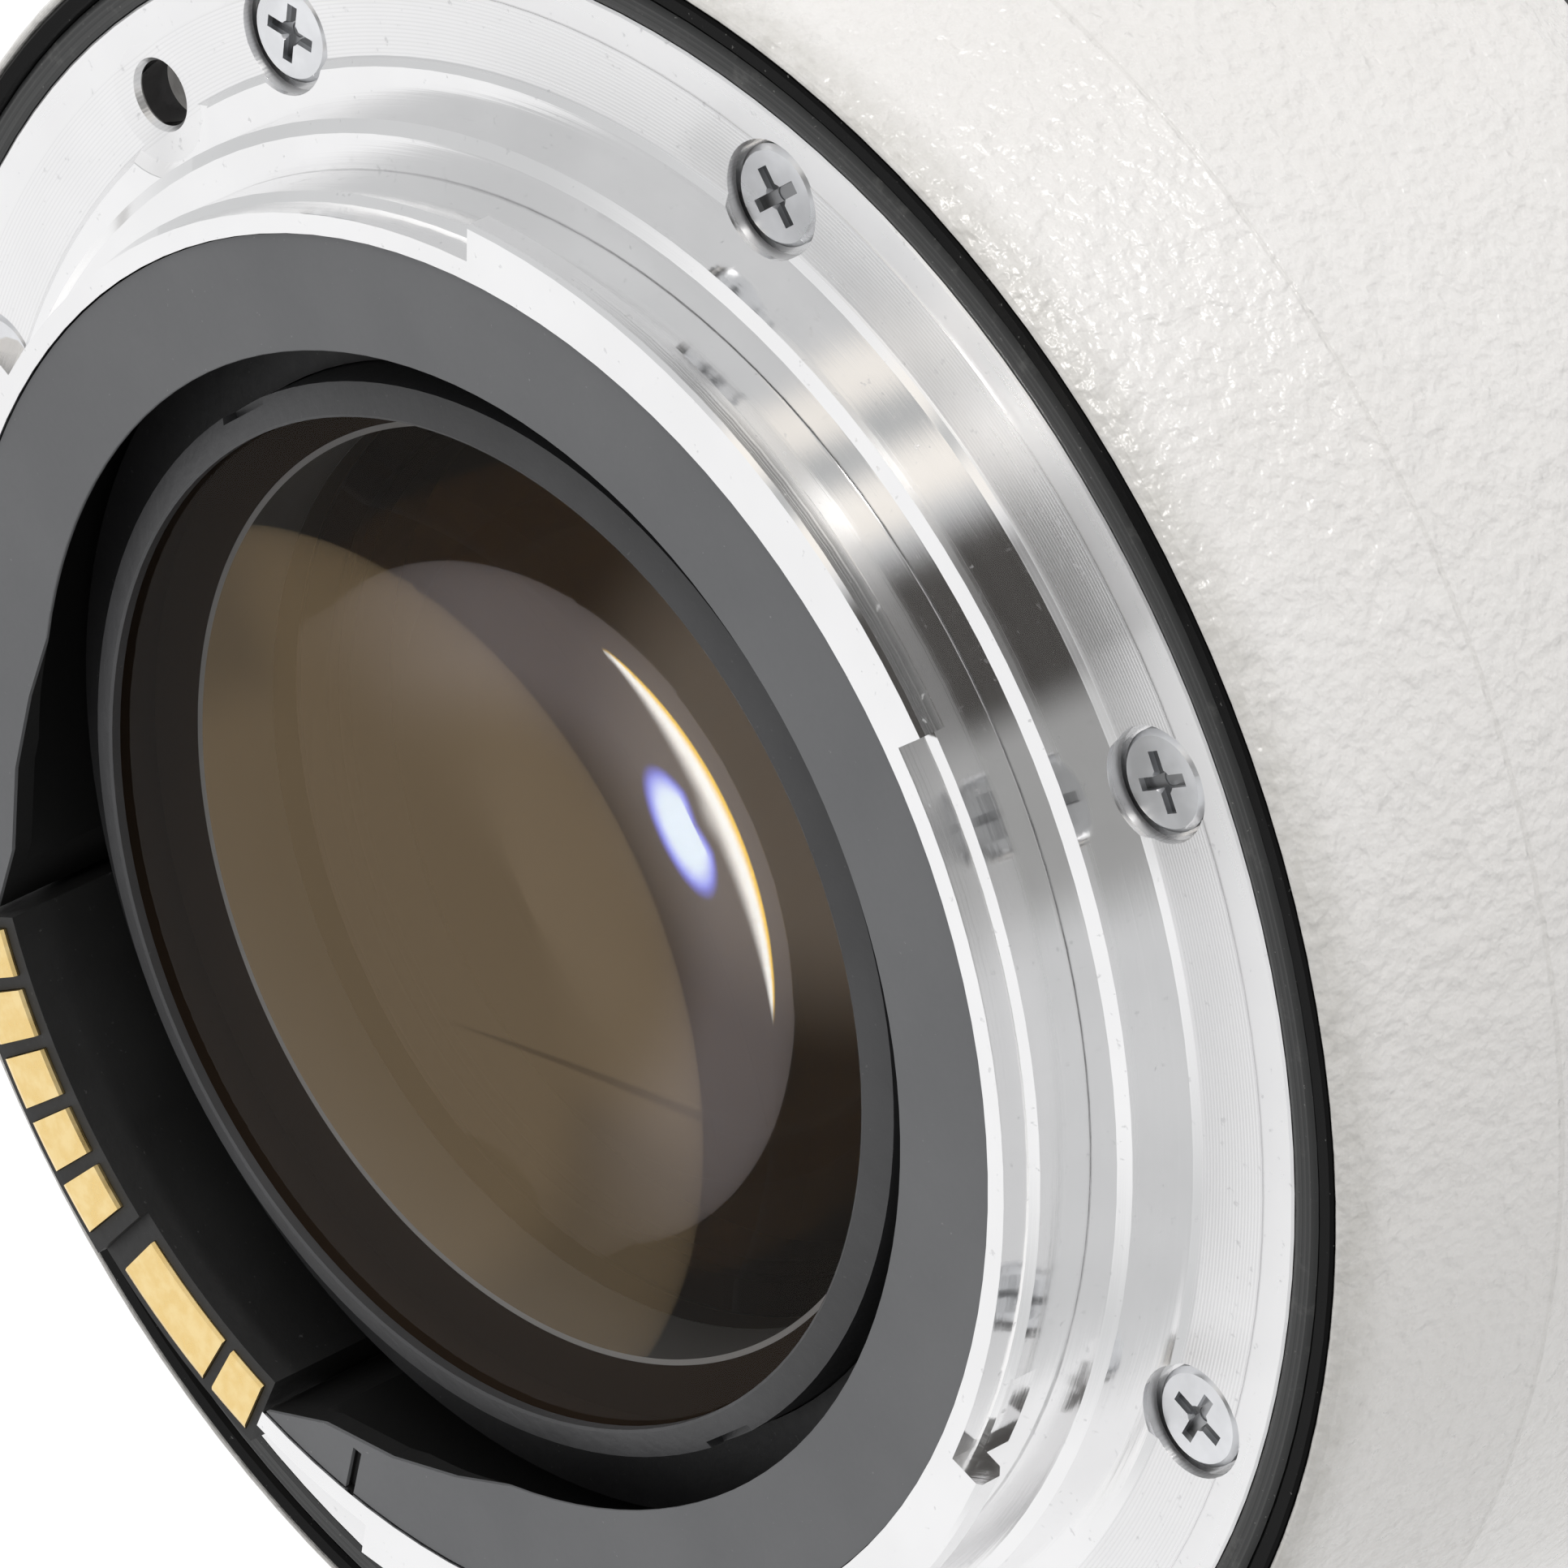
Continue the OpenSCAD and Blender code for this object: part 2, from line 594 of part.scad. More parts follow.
module lens_7() color("tan") up() element(rear_semi, s2, curve_2, s1, curve_1);
module lens_6() color("tan") up() element(inner_semi, s3, -curve_3, s2 - cement, -curve_2);
module lens_5() color("tan") up() element(inner_semi, s4, curve_4, s3 - cement, curve_3);
module lens_4() color("tan") up() element(front_semi, s6, -curve_6, s5, -curve_5);
module lens_3() color("tan") up() element(front_semi, s7, curve_7, s6 - cement, curve_6);
module lens_2() color("tan") up() element(front_semi, s8, -curve_8, s7 - cement, -curve_7);
module lens_1() color("tan") up() element(front_semi, s10, curve_10, s9, curve_9);

module optics_barrel() color("#1c1c1c") up() difference() {
    rotate_extrude() polygon([
        [ring_bore_r, cell_top_z], [cell_r, cell_top_z], [cell_r, web_z], [cell_flange_r, web_z],
        [cell_flange_r, web_z - cell_flange_t], [cell_r, web_z - cell_flange_t],
        [cell_r, cell_low_z], [socket_r, cell_low_z], [socket_r, socket_top_z], [lip_r, socket_top_z],
        [lip_r, lip_z], [inner_semi + fit, lip_z], [inner_semi + fit, shelf_z],
        [rear_semi + fit, shelf_z], [rear_semi + fit, ring_low_z - fit], [ring_bore_r, ring_low_z - fit]]);
    // Notch for the flexible cable
    arc(flex_r - 0.5, cell_flange_r + 1, web_z - cell_flange_t - 1, web_z + 0.01,
        flex_slot_az, flex_slot_arc);
    for (k = [0:2]) polar(cell_screw_r, cell_screw_az + 120 * k, web_z - cell_flange_t - 1)
        cylinder(r = shank_r + 0.1, h = 4);
}

// Front tube, set into the socket of the rear one
module nose_tube() color("#1c1c1c") up() rotate_extrude() polygon([
    [seat_r, socket_top_z - 0.1], [socket_r - fit, socket_top_z - 0.1], [socket_r - fit, cell_low_z - cement],
    [nose_r + nose_shoulder, cell_low_z - cement], [nose_r + nose_shoulder, shield_top_z],
    [nose_r, shield_top_z], [nose_r, nose_z + nose_taper_l],
    [nose_r - 0.7, nose_z + 0.4], [nose_r - 1, nose_z], [nose_r - 1.5, nose_z],
    [front_ring_r + fit, nose_z + 0.9], [front_ring_r + fit, front_ring_z],
    [front_bore_r, front_ring_z], [front_bore_r, seat_z], [seat_r, seat_z]]);

module optics_screws() color("gainsboro") up() for (k = [0:2])
    polar(cell_screw_r, cell_screw_az + 120 * k, web_z - cell_flange_t - head_h)
        rotate([180, 0, 0]) screw(cell_screw_l, cell_screw_turn * k);

module spacer_ring() color("#1c1c1c") up() ring(spacer_in_r, front_semi, spacer_low_z, spacer_top_z);

module front_retaining_ring() color("#1c1c1c") up() difference() {
    ring(front_ring_in_r, front_ring_r, front_ring_z - front_ring_t, front_ring_z);
    for (a = [0, 180]) rotate([0, 0, a]) translate([front_ring_in_r + 0.8, -slot_w / 2, front_ring_z - 2.2])
        cube([3, slot_w, 1.3]);
}

module front_mount() color("silver") up() difference() {
    union() {
        rotate_extrude() polygon([
            [throat_r + 0.15, front_z], [flange_r - 0.2, front_z], [flange_r, front_z + 0.2],
            [flange_r, front_seat_z], [hub_r, front_seat_z], [hub_r, front_back_z],
            [front_gap_r, front_back_z], [front_gap_r, front_z + throat_depth],
            [throat_r, front_z + throat_depth], [throat_r, front_z + 0.15]]);
        for (l = lugs) arc(front_lug_in_r, front_gap_r + 0.2, front_z + throat_depth, front_back_z,
            l[0] + 0.5, front_lug_arc);
    }
    for (k = [0:3]) polar(screw_circle_r, front_screw_az + 90 * k, front_z - 1) {
        cylinder(r = head_r + 0.25, h = 1 + head_drop + head_h);
        cylinder(r = shank_r + 0.1, h = 4);
    }
    polar(screw_circle_r, lock_az, front_z - 1) cylinder(r = pin_r + run, h = 4);
    polar(front_dot_r, front_dot_az, front_z - 1) cylinder(r = dot_r + fit, h = 1.5);
}

module front_mount_screws() color("gainsboro") up() for (k = [0:3])
    polar(screw_circle_r, front_screw_az + 90 * k, front_z + head_drop)
        rotate([180, 0, 0]) screw(front_screw_l, front_screw_turns[k]);

module front_index_dot() color("red") up() polar(front_dot_r, front_dot_az, front_z + 0.02)
    cylinder(r = dot_r, h = 0.48);

module mount_springs() color("lightgray") up() for (l = lugs)
    arc(front_gap_r - 0.7, hub_r - 0.2, front_back_z, front_back_z + leaf_t,
        l[0] + leaf_end_arc, front_lug_arc - 2 * leaf_end_arc);

module front_shield() color("#202020") up() difference() {
    ring(nose_r + 0.2, shield_r, front_web_z, shield_top_z);
    arc(block_in_r - 0.4, block_r + 0.1, front_web_z - 1, shield_top_z + 1,
        block_start - 0.6, block_arc - front_block_trim + 1.2);
}

module front_contact_block() color("#303030") up() difference() {
    union() {
        arc(block_in_r - 0.1, block_r - 0.1, front_block_low_z, shield_top_z + 0.2,
            block_start, block_arc - front_block_trim);
        arc(block_in_r, block_r - 0.2, front_block_low_z - front_block_drop, front_block_low_z + 0.3,
            front_low_az, block_start + block_arc - front_block_trim - 0.3 - front_low_az);
        arc(block_in_r - 0.7, block_r + 0.4, shield_top_z, front_block_top_z,
            block_start - front_block_side, block_arc - front_block_trim + 2 * front_block_side);
    }
    for (a = contact_azs) polar(contact_r, a, front_block_low_z - 2) cylinder(r = contact_pin_r + run, h = 8);
    for (a = contact_azs) polar(contact_r, a, contact_step_z) cylinder(r = contact_pin_r + 0.35, h = 8);
}

// One spring contact: rounded tip, shank and a head that holds it in the block
module contact_pin(k) color("gold") up() {
    tip = front_block_low_z - contact_reach - (k > 4 ? front_block_drop : 0);
    bevel = contact_pin_r * 0.6;
    polar(contact_r, contact_azs[k]) {
        translate([0, 0, tip]) cylinder(r1 = contact_pin_r - bevel, r2 = contact_pin_r, h = bevel);
        translate([0, 0, tip + bevel]) cylinder(r = contact_pin_r, h = contact_step_z + 0.3 - tip - bevel);
        translate([0, 0, contact_step_z + 0.02]) cylinder(r = contact_pin_r + 0.28, h = 0.6);
    }
}

module flex_cable() color("peru") up()
    arc(flex_r, flex_r + flex_t, front_block_top_z - flex_tail, ledge_z - 0.1, flex_az, flex_arc);

module circuit_board() color("darkgreen") up()
    arc(board_r - board_w, board_r, web_z - board_t, web_z, board_az, board_arc);

module lock_pin() color("silver") up() polar(screw_circle_r, lock_az) {
    low = front_z - pin_reach;
    top = boss_z + 1.5;
    translate([0, 0, low]) cylinder(r1 = pin_r - 0.4, r2 = pin_r, h = 0.5);
    translate([0, 0, low + 0.5]) cylinder(r = pin_r, h = top - low - 0.5);
    translate([0, 0, collar_z]) cylinder(r = collar_r, h = collar_h);
    translate([0, 0, peg_z]) rotate([0, 90, 0]) cylinder(r = peg_r, h = slide_r2 - screw_circle_r + 0.1);
}

// Lock spring: one tube swept along a helix, with its ends closed
coil_sides = 6;
coil_per_turn = 8;
coil_steps = coil_turns * coil_per_turn;
coil_rise = coil_l - 2 * wire_r - 0.06;
function coil_point(i, j) =
    let (t = 360 * i / coil_per_turn, w = 360 * j / coil_sides, r = coil_r + wire_r * cos(w))
    [r * cos(t), r * sin(t),
        coil_low_z + 0.03 + wire_r + coil_rise * i / coil_steps + wire_r * sin(w)];

module lock_spring() color("gray") up() polar(screw_circle_r, lock_az) {
    n = coil_sides;
    points = [for (i = [0:coil_steps]) for (j = [0:n - 1]) coil_point(i, j)];
    sheets = [for (i = [0:coil_steps - 1]) for (j = [0:n - 1])
        [i * n + j, (i + 1) * n + j, (i + 1) * n + (j + 1) % n, i * n + (j + 1) % n]];
    low_end = [for (j = [0:n - 1]) j];
    high_end = [for (j = [0:n - 1]) coil_steps * n + n - 1 - j];
    polyhedron(points = points, faces = concat(sheets, [low_end], [high_end]), convexity = 10);
    echo(spring_gap = coil_rise / coil_turns - 2 * wire_r);
}

// Sliding arc with the sloped slot that lifts the lock pin
module lever_slide() color("silver") up() difference() {
    slot_r = peg_r + peg_air;
    slot_l = sqrt(slot_run * slot_run + pin_lift * pin_lift);
    arc(slide_r1, slide_r2, slide_z1, slide_z1 + slide_h, lock_az - lever_turn - slide_end_arc,
        grip_az + slide_far_arc - lock_az + lever_turn + slide_end_arc);
    polar(slide_r1 - 1, lock_az, peg_z) {
        rotate([0, 90, 0]) cylinder(r = slot_r, h = 4);
        translate([0, -slot_run, pin_lift]) rotate([0, 90, 0]) cylinder(r = slot_r, h = 4);
        rotate([-atan2(pin_lift, slot_run), 0, 0]) translate([0, -slot_l, -slot_r + 0.01])
            cube([4, slot_l, 2 * slot_r - 0.02]);
    }
}

module release_lever() color("#252525") up() difference() {
    grip_z = neck_z + neck_h / 2 - grip_h / 2;
    union() {
        arc(slide_r2 + 0.02, grip_r1 + 0.5, neck_z, neck_z + neck_h, grip_az - neck_arc / 2, neck_arc);
        rotate([0, 0, grip_az - grip_arc / 2]) rotate_extrude(angle = grip_arc) polygon([
            [grip_r1, grip_z], [grip_r2 - 0.5, grip_z], [grip_r2, grip_z + 0.5],
            [grip_r2, grip_z + grip_h - 0.5], [grip_r2 - 0.5, grip_z + grip_h], [grip_r1, grip_z + grip_h]]);
    }
    for (k = [-4:4])
        arc(grip_r2 - 0.35, grip_r2 + 1, grip_z - 1, grip_z + grip_h + 1, grip_az + 2.2 * k - 0.5, 1);
}

rear_mount();
rear_mount_screws();
rear_gasket();
rear_trim_ring();
rear_index_dot();
barrel();
rear_baffle();
rear_contact_block();
rear_contact_pads();
rear_retaining_ring();
lens_1();
lens_2();
lens_3();
lens_4();
lens_5();
lens_6();
lens_7();
optics_barrel();
nose_tube();
optics_screws();
spacer_ring();
front_retaining_ring();
front_mount();
front_mount_screws();
mount_springs();
front_shield();
front_contact_block();
contact_pin(0);  // contact_pin_1
contact_pin(1);  // contact_pin_2
contact_pin(2);  // contact_pin_3
contact_pin(3);  // contact_pin_4
contact_pin(4);  // contact_pin_5
contact_pin(5);  // contact_pin_6
contact_pin(6);  // contact_pin_7
contact_pin(7);  // contact_pin_8
flex_cable();
circuit_board();
lock_pin();
lock_spring();
lever_slide();
release_lever();
front_index_dot();
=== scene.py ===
"""Looks of the camera teleconverter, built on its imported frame. Metres, CAD frame."""
import math
import bpy
from mathutils import Matrix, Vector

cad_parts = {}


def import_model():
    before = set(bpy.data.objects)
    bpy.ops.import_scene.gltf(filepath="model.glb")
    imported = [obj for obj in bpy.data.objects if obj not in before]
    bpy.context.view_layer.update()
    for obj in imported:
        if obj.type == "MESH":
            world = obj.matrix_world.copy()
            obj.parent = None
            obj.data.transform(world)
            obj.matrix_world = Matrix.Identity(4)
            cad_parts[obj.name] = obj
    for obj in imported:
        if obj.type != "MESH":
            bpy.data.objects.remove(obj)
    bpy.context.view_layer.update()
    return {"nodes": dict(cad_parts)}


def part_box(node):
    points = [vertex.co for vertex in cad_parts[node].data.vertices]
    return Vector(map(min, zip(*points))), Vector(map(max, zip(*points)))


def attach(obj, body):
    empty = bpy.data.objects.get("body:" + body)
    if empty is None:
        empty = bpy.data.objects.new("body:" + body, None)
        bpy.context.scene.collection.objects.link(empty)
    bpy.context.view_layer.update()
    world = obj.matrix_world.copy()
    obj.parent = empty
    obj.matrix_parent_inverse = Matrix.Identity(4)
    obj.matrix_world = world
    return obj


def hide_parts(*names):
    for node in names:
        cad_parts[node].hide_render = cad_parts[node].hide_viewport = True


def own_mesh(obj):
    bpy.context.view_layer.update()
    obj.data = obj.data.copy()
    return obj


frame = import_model()
nodes = frame["nodes"]

MM = 0.001

# Heights along the axis and radii from it, where one look on a piece gives way to another
FLANGE = 47.2 * MM
FLARE = 8.6 * MM
FACE_LOW = FLANGE - 0.4 * MM
FACE_HIGH = FLANGE + 0.06 * MM
TURNED_IN_R = 28.3 * MM
TURNED_OUT_R = 31.0 * MM
GROOVE_PITCH = 0.14 * MM
BORE_R = 24.32 * MM
BORE_TOP = FLANGE + 5.4 * MM
PIN_HOLE = (29.39 * MM, 2.57 * MM, 0.0)
PIN_HOLE_R = 1.9 * MM
PIN_HOLE_LOW = FLANGE - 4.0 * MM
PIN_HOLE_TOP = FLANGE - 0.45 * MM
SCREW_LOW = FLANGE - 3.0 * MM
RECESS_TOP = FLANGE - 0.42 * MM
RIM_LOW = FLANGE - 2.3 * MM
RIM_TOP = FLANGE - 0.35 * MM
SEAM_CORE = 0.04 * MM
SEAM_EDGE = 0.16 * MM
BAFFLE_FACE = FLANGE + 5.3 * MM
LENS_7_TOP = FLANGE + 4.17 * MM
LENS_7_WALL_R = 18.17 * MM
BOWL_BEVEL_R = 16.15 * MM
BOWL_RIM_R = 16.35 * MM
LENS_6_SPLIT = FLANGE - 5.0 * MM
LENS_5_SPLIT = FLANGE - 11.0 * MM
CEMENTED_WALL_R = (16.3 - 0.03) * MM
LENS_1_BACK = FLANGE - 40.4 * MM
LENS_1_WALL_R = 15.57 * MM

# Lock spring
COIL_TURNS = 6
COIL_STEPS = 28
WIRE_SIDES = 10
WIRE_R = 0.2 * MM

WHITE = (1, 1, 1)
GLASS_IOR = 1.6
FLAT = (1, 1, 0)


# Node helpers

def put(tree, kind, inputs=None, **settings):
    """Adds a node; inputs maps socket names or numbers to numbers, colours or other sockets."""
    item = tree.nodes.new(kind)
    for key, value in settings.items():
        setattr(item, key, value)
    for key, value in (inputs or {}).items():
        socket = item.inputs[key]
        if isinstance(value, bpy.types.NodeSocket):
            tree.links.new(value, socket)
        elif socket.type == "RGBA":
            socket.default_value = (*value, 1.0)
        else:
            socket.default_value = value
    return item


def calc(tree, operation, *values):
    return put(tree, "ShaderNodeMath", dict(enumerate(values)), operation=operation).outputs[0]


def times(tree, a, b):
    return calc(tree, "MULTIPLY", a, b)


def vary(tree, value, gain, base):
    """The base plus the value times the gain."""
    return calc(tree, "MULTIPLY_ADD", value, gain, base)


def span(tree, value, low, high, start=0.0, end=1.0):
    """A smooth climb from start to end while value goes from low to high."""
    item = put(tree, "ShaderNodeMapRange", {0: value, 1: low, 2: high, 3: start, 4: end},
               interpolation_type="SMOOTHSTEP")
    return item.outputs[0]


def zone(tree, value, low, high):
    """One between low and high, else zero."""
    above = calc(tree, "GREATER_THAN", value, low)
    return times(tree, above, calc(tree, "LESS_THAN", value, high))


def blend_colour(tree, factor, first, second, mode="MIX"):
    item = put(tree, "ShaderNodeMix", {0: factor, 6: first, 7: second}, data_type="RGBA", blend_type=mode)
    return item.outputs[2]


def mix_shader(tree, factor, first, second):
    return put(tree, "ShaderNodeMixShader", {0: factor, 1: first, 2: second}).outputs[0]


def noise(tree, vector, scale, detail=3.0, rough=0.55):
    return put(tree, "ShaderNodeTexNoise", {"Vector": vector, "Scale": scale, "Detail": detail,
                                            "Roughness": rough}).outputs["Fac"]


class Place:
    """Position on the part: the point itself, its height and its radius from the axis."""

    def __init__(self, tree):
        self.point = put(tree, "ShaderNodeTexCoord").outputs["Object"]
        split = put(tree, "ShaderNodeSeparateXYZ", {0: self.point})
        self.z = split.outputs[2]
        flat = put(tree, "ShaderNodeCombineXYZ", {0: split.outputs[0], 1: split.outputs[1]})
        self.r = put(tree, "ShaderNodeVectorMath", {0: flat.outputs[0]}, operation="LENGTH").outputs["Value"]


def new_material(name):
    material = bpy.data.materials.new(name)
    material.use_nodes = True
    tree = material.node_tree
    tree.nodes.clear()
    out = put(tree, "ShaderNodeOutputMaterial")
    return material, tree, out


def lines(tree, place, density):
    """Turned lines: they follow the radius on faces and the height on walls."""
    along = vary(tree, place.z, gain=0.73, base=place.r)
    return put(tree, "ShaderNodeTexNoise", {"W": along, "Scale": density, "Detail": 2.0,
                                            "Roughness": 0.7}, noise_dimensions="1D").outputs["Fac"]


def bump(tree, height, distance, strength=1.0, normal=None):
    inputs = {"Height": height, "Distance": distance, "Strength": strength}
    if normal is not None:
        inputs["Normal"] = normal
    return put(tree, "ShaderNodeBump", inputs).outputs[0]


def shader(tree, out, inputs):
    item = put(tree, "ShaderNodeBsdfPrincipled", inputs)
    tree.links.new(item.outputs[0], out.inputs[0])


def shown_rays(tree, path):
    """One for rays from the camera, from gloss and through glass, else zero."""
    shown = calc(tree, "MAXIMUM", path.outputs["Is Camera Ray"], path.outputs["Is Glossy Ray"])
    return calc(tree, "MAXIMUM", shown, path.outputs["Is Transmission Ray"])


# Materials

def pin_hole(tree, place):
    """One in the wall and floor of the lock-pin hole, else zero."""
    beside = put(tree, "ShaderNodeVectorMath", {0: place.point, 1: PIN_HOLE}, operation="SUBTRACT")
    aside = put(tree, "ShaderNodeVectorMath", {0: beside.outputs[0], 1: FLAT}, operation="MULTIPLY")
    away = put(tree, "ShaderNodeVectorMath", {0: aside.outputs[0]}, operation="LENGTH").outputs["Value"]
    return times(tree, calc(tree, "LESS_THAN", away, PIN_HOLE_R),
                 zone(tree, place.z, PIN_HOLE_LOW, PIN_HOLE_TOP))


def chrome(name):
    """Bright plating with regular turned grooves on the flange, painted shade grey in the grooves and in the
    lock-pin hole, and a near-black bore that is painted shade.
    """
    dull = (0.895, 0.893, 0.895)
    bright = (0.94, 0.938, 0.94)
    nicked = (0.55, 0.55, 0.56)
    groove_painted_shade = (0.52, 0.52, 0.525)
    hole_painted_shade = (0.16, 0.16, 0.165)
    bore_shade_low = (0.006, 0.006, 0.006)
    bore_shade_high = (0.014, 0.014, 0.014)
    nick_share = 0.35
    trough_shade_share = 0.17
    material, tree, out = new_material(name)
    place = Place(tree)
    fine = lines(tree, place, density=9000.0)
    coarse = lines(tree, place, density=1500.0)
    smear = noise(tree, place.point, scale=160.0, detail=4.0)
    nick = span(tree, noise(tree, place.point, scale=2600.0), low=0.66, high=0.74)
    face = zone(tree, place.z, FACE_LOW, FACE_HIGH)
    turned = times(tree, zone(tree, place.r, TURNED_IN_R, TURNED_OUT_R), face)
    wave = calc(tree, "SINE", times(tree, place.r, 2.0 * math.pi / GROOVE_PITCH))
    groove = times(tree, wave, turned)
    rough = vary(tree, smear, gain=0.04, base=0.07)
    rough = vary(tree, coarse, gain=0.05, base=rough)
    rough = vary(tree, nick, gain=0.15, base=rough)
    rough = vary(tree, face, gain=0.17, base=rough)
    colour = blend_colour(tree, span(tree, smear, low=0.3, high=0.75), dull, bright)
    colour = blend_colour(tree, times(tree, nick, nick_share), colour, nicked)
    # Painted shade: the troughs of the turned grooves on the flange are coloured grey.
    trough_painted_shade = calc(tree, "MAXIMUM", times(tree, groove, trough_shade_share), 0.0)
    colour = blend_colour(tree, trough_painted_shade, colour, groove_painted_shade)
    # Painted shade: the wall and floor of the lock-pin hole are coloured dark grey.
    colour = blend_colour(tree, pin_hole(tree, place), colour, hole_painted_shade)
    normal = bump(tree, fine, distance=0.000005, strength=vary(tree, face, gain=-0.28, base=0.4))
    normal = bump(tree, coarse, distance=0.000014, strength=vary(tree, face, gain=-0.22, base=0.3),
                  normal=normal)
    normal = bump(tree, groove, distance=0.0000014, normal=normal)
    around = put(tree, "ShaderNodeTangent", direction_type="RADIAL", axis="Z")
    plated = put(tree, "ShaderNodeBsdfPrincipled", {
        "Base Color": colour, "Metallic": 1.0, "Roughness": rough, "Normal": normal, "Anisotropic": 0.85,
        "Anisotropic Rotation": 0.25, "Tangent": around.outputs[0]})
    grain = noise(tree, place.point, scale=2500.0, detail=4.0)
    # Painted shade: inside the mount tube the bore is a near-black matte, standing in for the shade of the
    # deep well.
    bore_shade = put(tree, "ShaderNodeBsdfPrincipled", {
        "Base Color": blend_colour(tree, grain, bore_shade_low, bore_shade_high),
        "Roughness": vary(tree, grain, gain=0.2, base=0.5),
        "Normal": bump(tree, grain, distance=0.00003, strength=0.5)})
    inside = calc(tree, "LESS_THAN", place.r, BORE_R)
    inside = times(tree, inside, calc(tree, "LESS_THAN", place.z, BORE_TOP))
    tree.links.new(mix_shader(tree, inside, plated.outputs[0], bore_shade.outputs[0]), out.inputs[0])
    return material


def steel(name, tone, rough_low, recess_z=0.0):
    """Satin steel; recess_z is the height under which the cross recess of a rear screw lies, darkened there
    as painted shade.
    """
    low = tuple(0.86 * t for t in tone)
    recess_painted_shade = tuple(0.45 * t for t in tone)
    material, tree, out = new_material(name)
    place = Place(tree)
    grain = noise(tree, place.point, scale=1800.0, detail=4.0)
    cloud = noise(tree, place.point, scale=500.0)
    colour = blend_colour(tree, span(tree, cloud, low=0.35, high=0.7), low, tone)
    # Painted shade: the cross recess of a rear screw is darker.
    if recess_z:
        sunk = zone(tree, place.z, SCREW_LOW, recess_z)
        colour = blend_colour(tree, sunk, colour, recess_painted_shade)
    shader(tree, out, {"Base Color": colour, "Metallic": 1.0,
                       "Roughness": vary(tree, cloud, gain=0.2, base=rough_low),
                       "Normal": bump(tree, grain, distance=0.000006, strength=0.5)})
    return material


def rubber(name):
    """Soft grey-black ring with fine moulding lines and dust."""
    valley = (0.019, 0.020, 0.020)
    ridge = (0.042, 0.043, 0.043)
    dust_grey = (0.24, 0.24, 0.23)
    dust_share = 0.22
    speck_share = 0.7
    material, tree, out = new_material(name)
    place = Place(tree)
    line = lines(tree, place, density=5200.0)
    dust = span(tree, noise(tree, place.point, scale=800.0, detail=6.0, rough=0.7), low=0.55, high=0.75)
    speck = span(tree, noise(tree, place.point, scale=5200.0, detail=2.0), low=0.70, high=0.76)
    dust = calc(tree, "MAXIMUM", times(tree, dust, dust_share), times(tree, speck, speck_share))
    tone = blend_colour(tree, span(tree, line, low=0.35, high=0.65), valley, ridge)
    shader(tree, out, {"Base Color": blend_colour(tree, dust, tone, dust_grey),
                       "Roughness": vary(tree, dust, gain=0.25, base=0.45),
                       "Normal": bump(tree, line, distance=0.00003, strength=0.5)})
    return material


def gloss_black(name):
    black = (0.004, 0.004, 0.004)
    dust_grey = (0.13, 0.13, 0.125)
    material, tree, out = new_material(name)
    place = Place(tree)
    band = lines(tree, place, density=6000.0)
    speck = span(tree, noise(tree, place.point, scale=4200.0, detail=2.0), low=0.71, high=0.76)
    shader(tree, out, {"Base Color": blend_colour(tree, speck, black, dust_grey),
                       "Roughness": vary(tree, band, gain=0.15, base=0.12),
                       "Normal": bump(tree, band, distance=0.000006, strength=0.3),
                       "Specular IOR Level": 0.08})
    return material


def paint(name):
    """Off-white lacquer with an orange peel and a parting line; painted shade darkens the dips of the peel
    and makes it a little greyer along the rear rim.
    """
    low = (0.800, 0.788, 0.774)
    high = (0.820, 0.810, 0.800)
    dip_painted_shade = (0.60, 0.585, 0.56)
    seam_shade = (0.52, 0.505, 0.48)
    painted_shade_grey = (0.42, 0.41, 0.37)
    seam_share = 0.22
    material, tree, out = new_material(name)
    place = Place(tree)
    peel = noise(tree, place.point, scale=2100.0, detail=2.0, rough=0.45)
    swell = noise(tree, place.point, scale=620.0, detail=2.0)
    cloud = noise(tree, place.point, scale=90.0)
    streak = noise(tree, place.point, scale=1500.0, detail=4.0, rough=0.6)
    # Painted shade: a streaky band along the rear rim is made greyer.
    near_rim = span(tree, place.z, RIM_LOW, RIM_TOP)
    painted_shade_mask = times(tree, near_rim, span(tree, streak, low=0.2, high=0.8, start=0.22, end=0.5))
    tone = blend_colour(tree, span(tree, cloud, low=0.3, high=0.7), low, high)
    # Painted shade: the dips of the orange peel are darker.
    dip_shade_mask = span(tree, peel, low=0.30, high=0.55, start=0.09, end=0.0)
    tone = blend_colour(tree, dip_shade_mask, tone, dip_painted_shade)
    edge = calc(tree, "ABSOLUTE", calc(tree, "SUBTRACT", place.z, FLANGE - FLARE))
    seam = span(tree, edge, SEAM_CORE, SEAM_EDGE, start=1.0, end=0.0)
    tone = blend_colour(tree, times(tree, seam, seam_share), tone, seam_shade)
    normal = bump(tree, swell, distance=0.00030, strength=0.8)
    normal = bump(tree, peel, distance=0.00016, normal=normal)
    normal = bump(tree, seam, distance=-0.00004, strength=0.6, normal=normal)
    shader(tree, out, {"Base Color": blend_colour(tree, painted_shade_mask, tone, painted_shade_grey),
                       "Roughness": vary(tree, streak, gain=0.14, base=0.22),
                       "Normal": normal, "Coat Weight": 0.4, "Coat Roughness": 0.08})
    return material


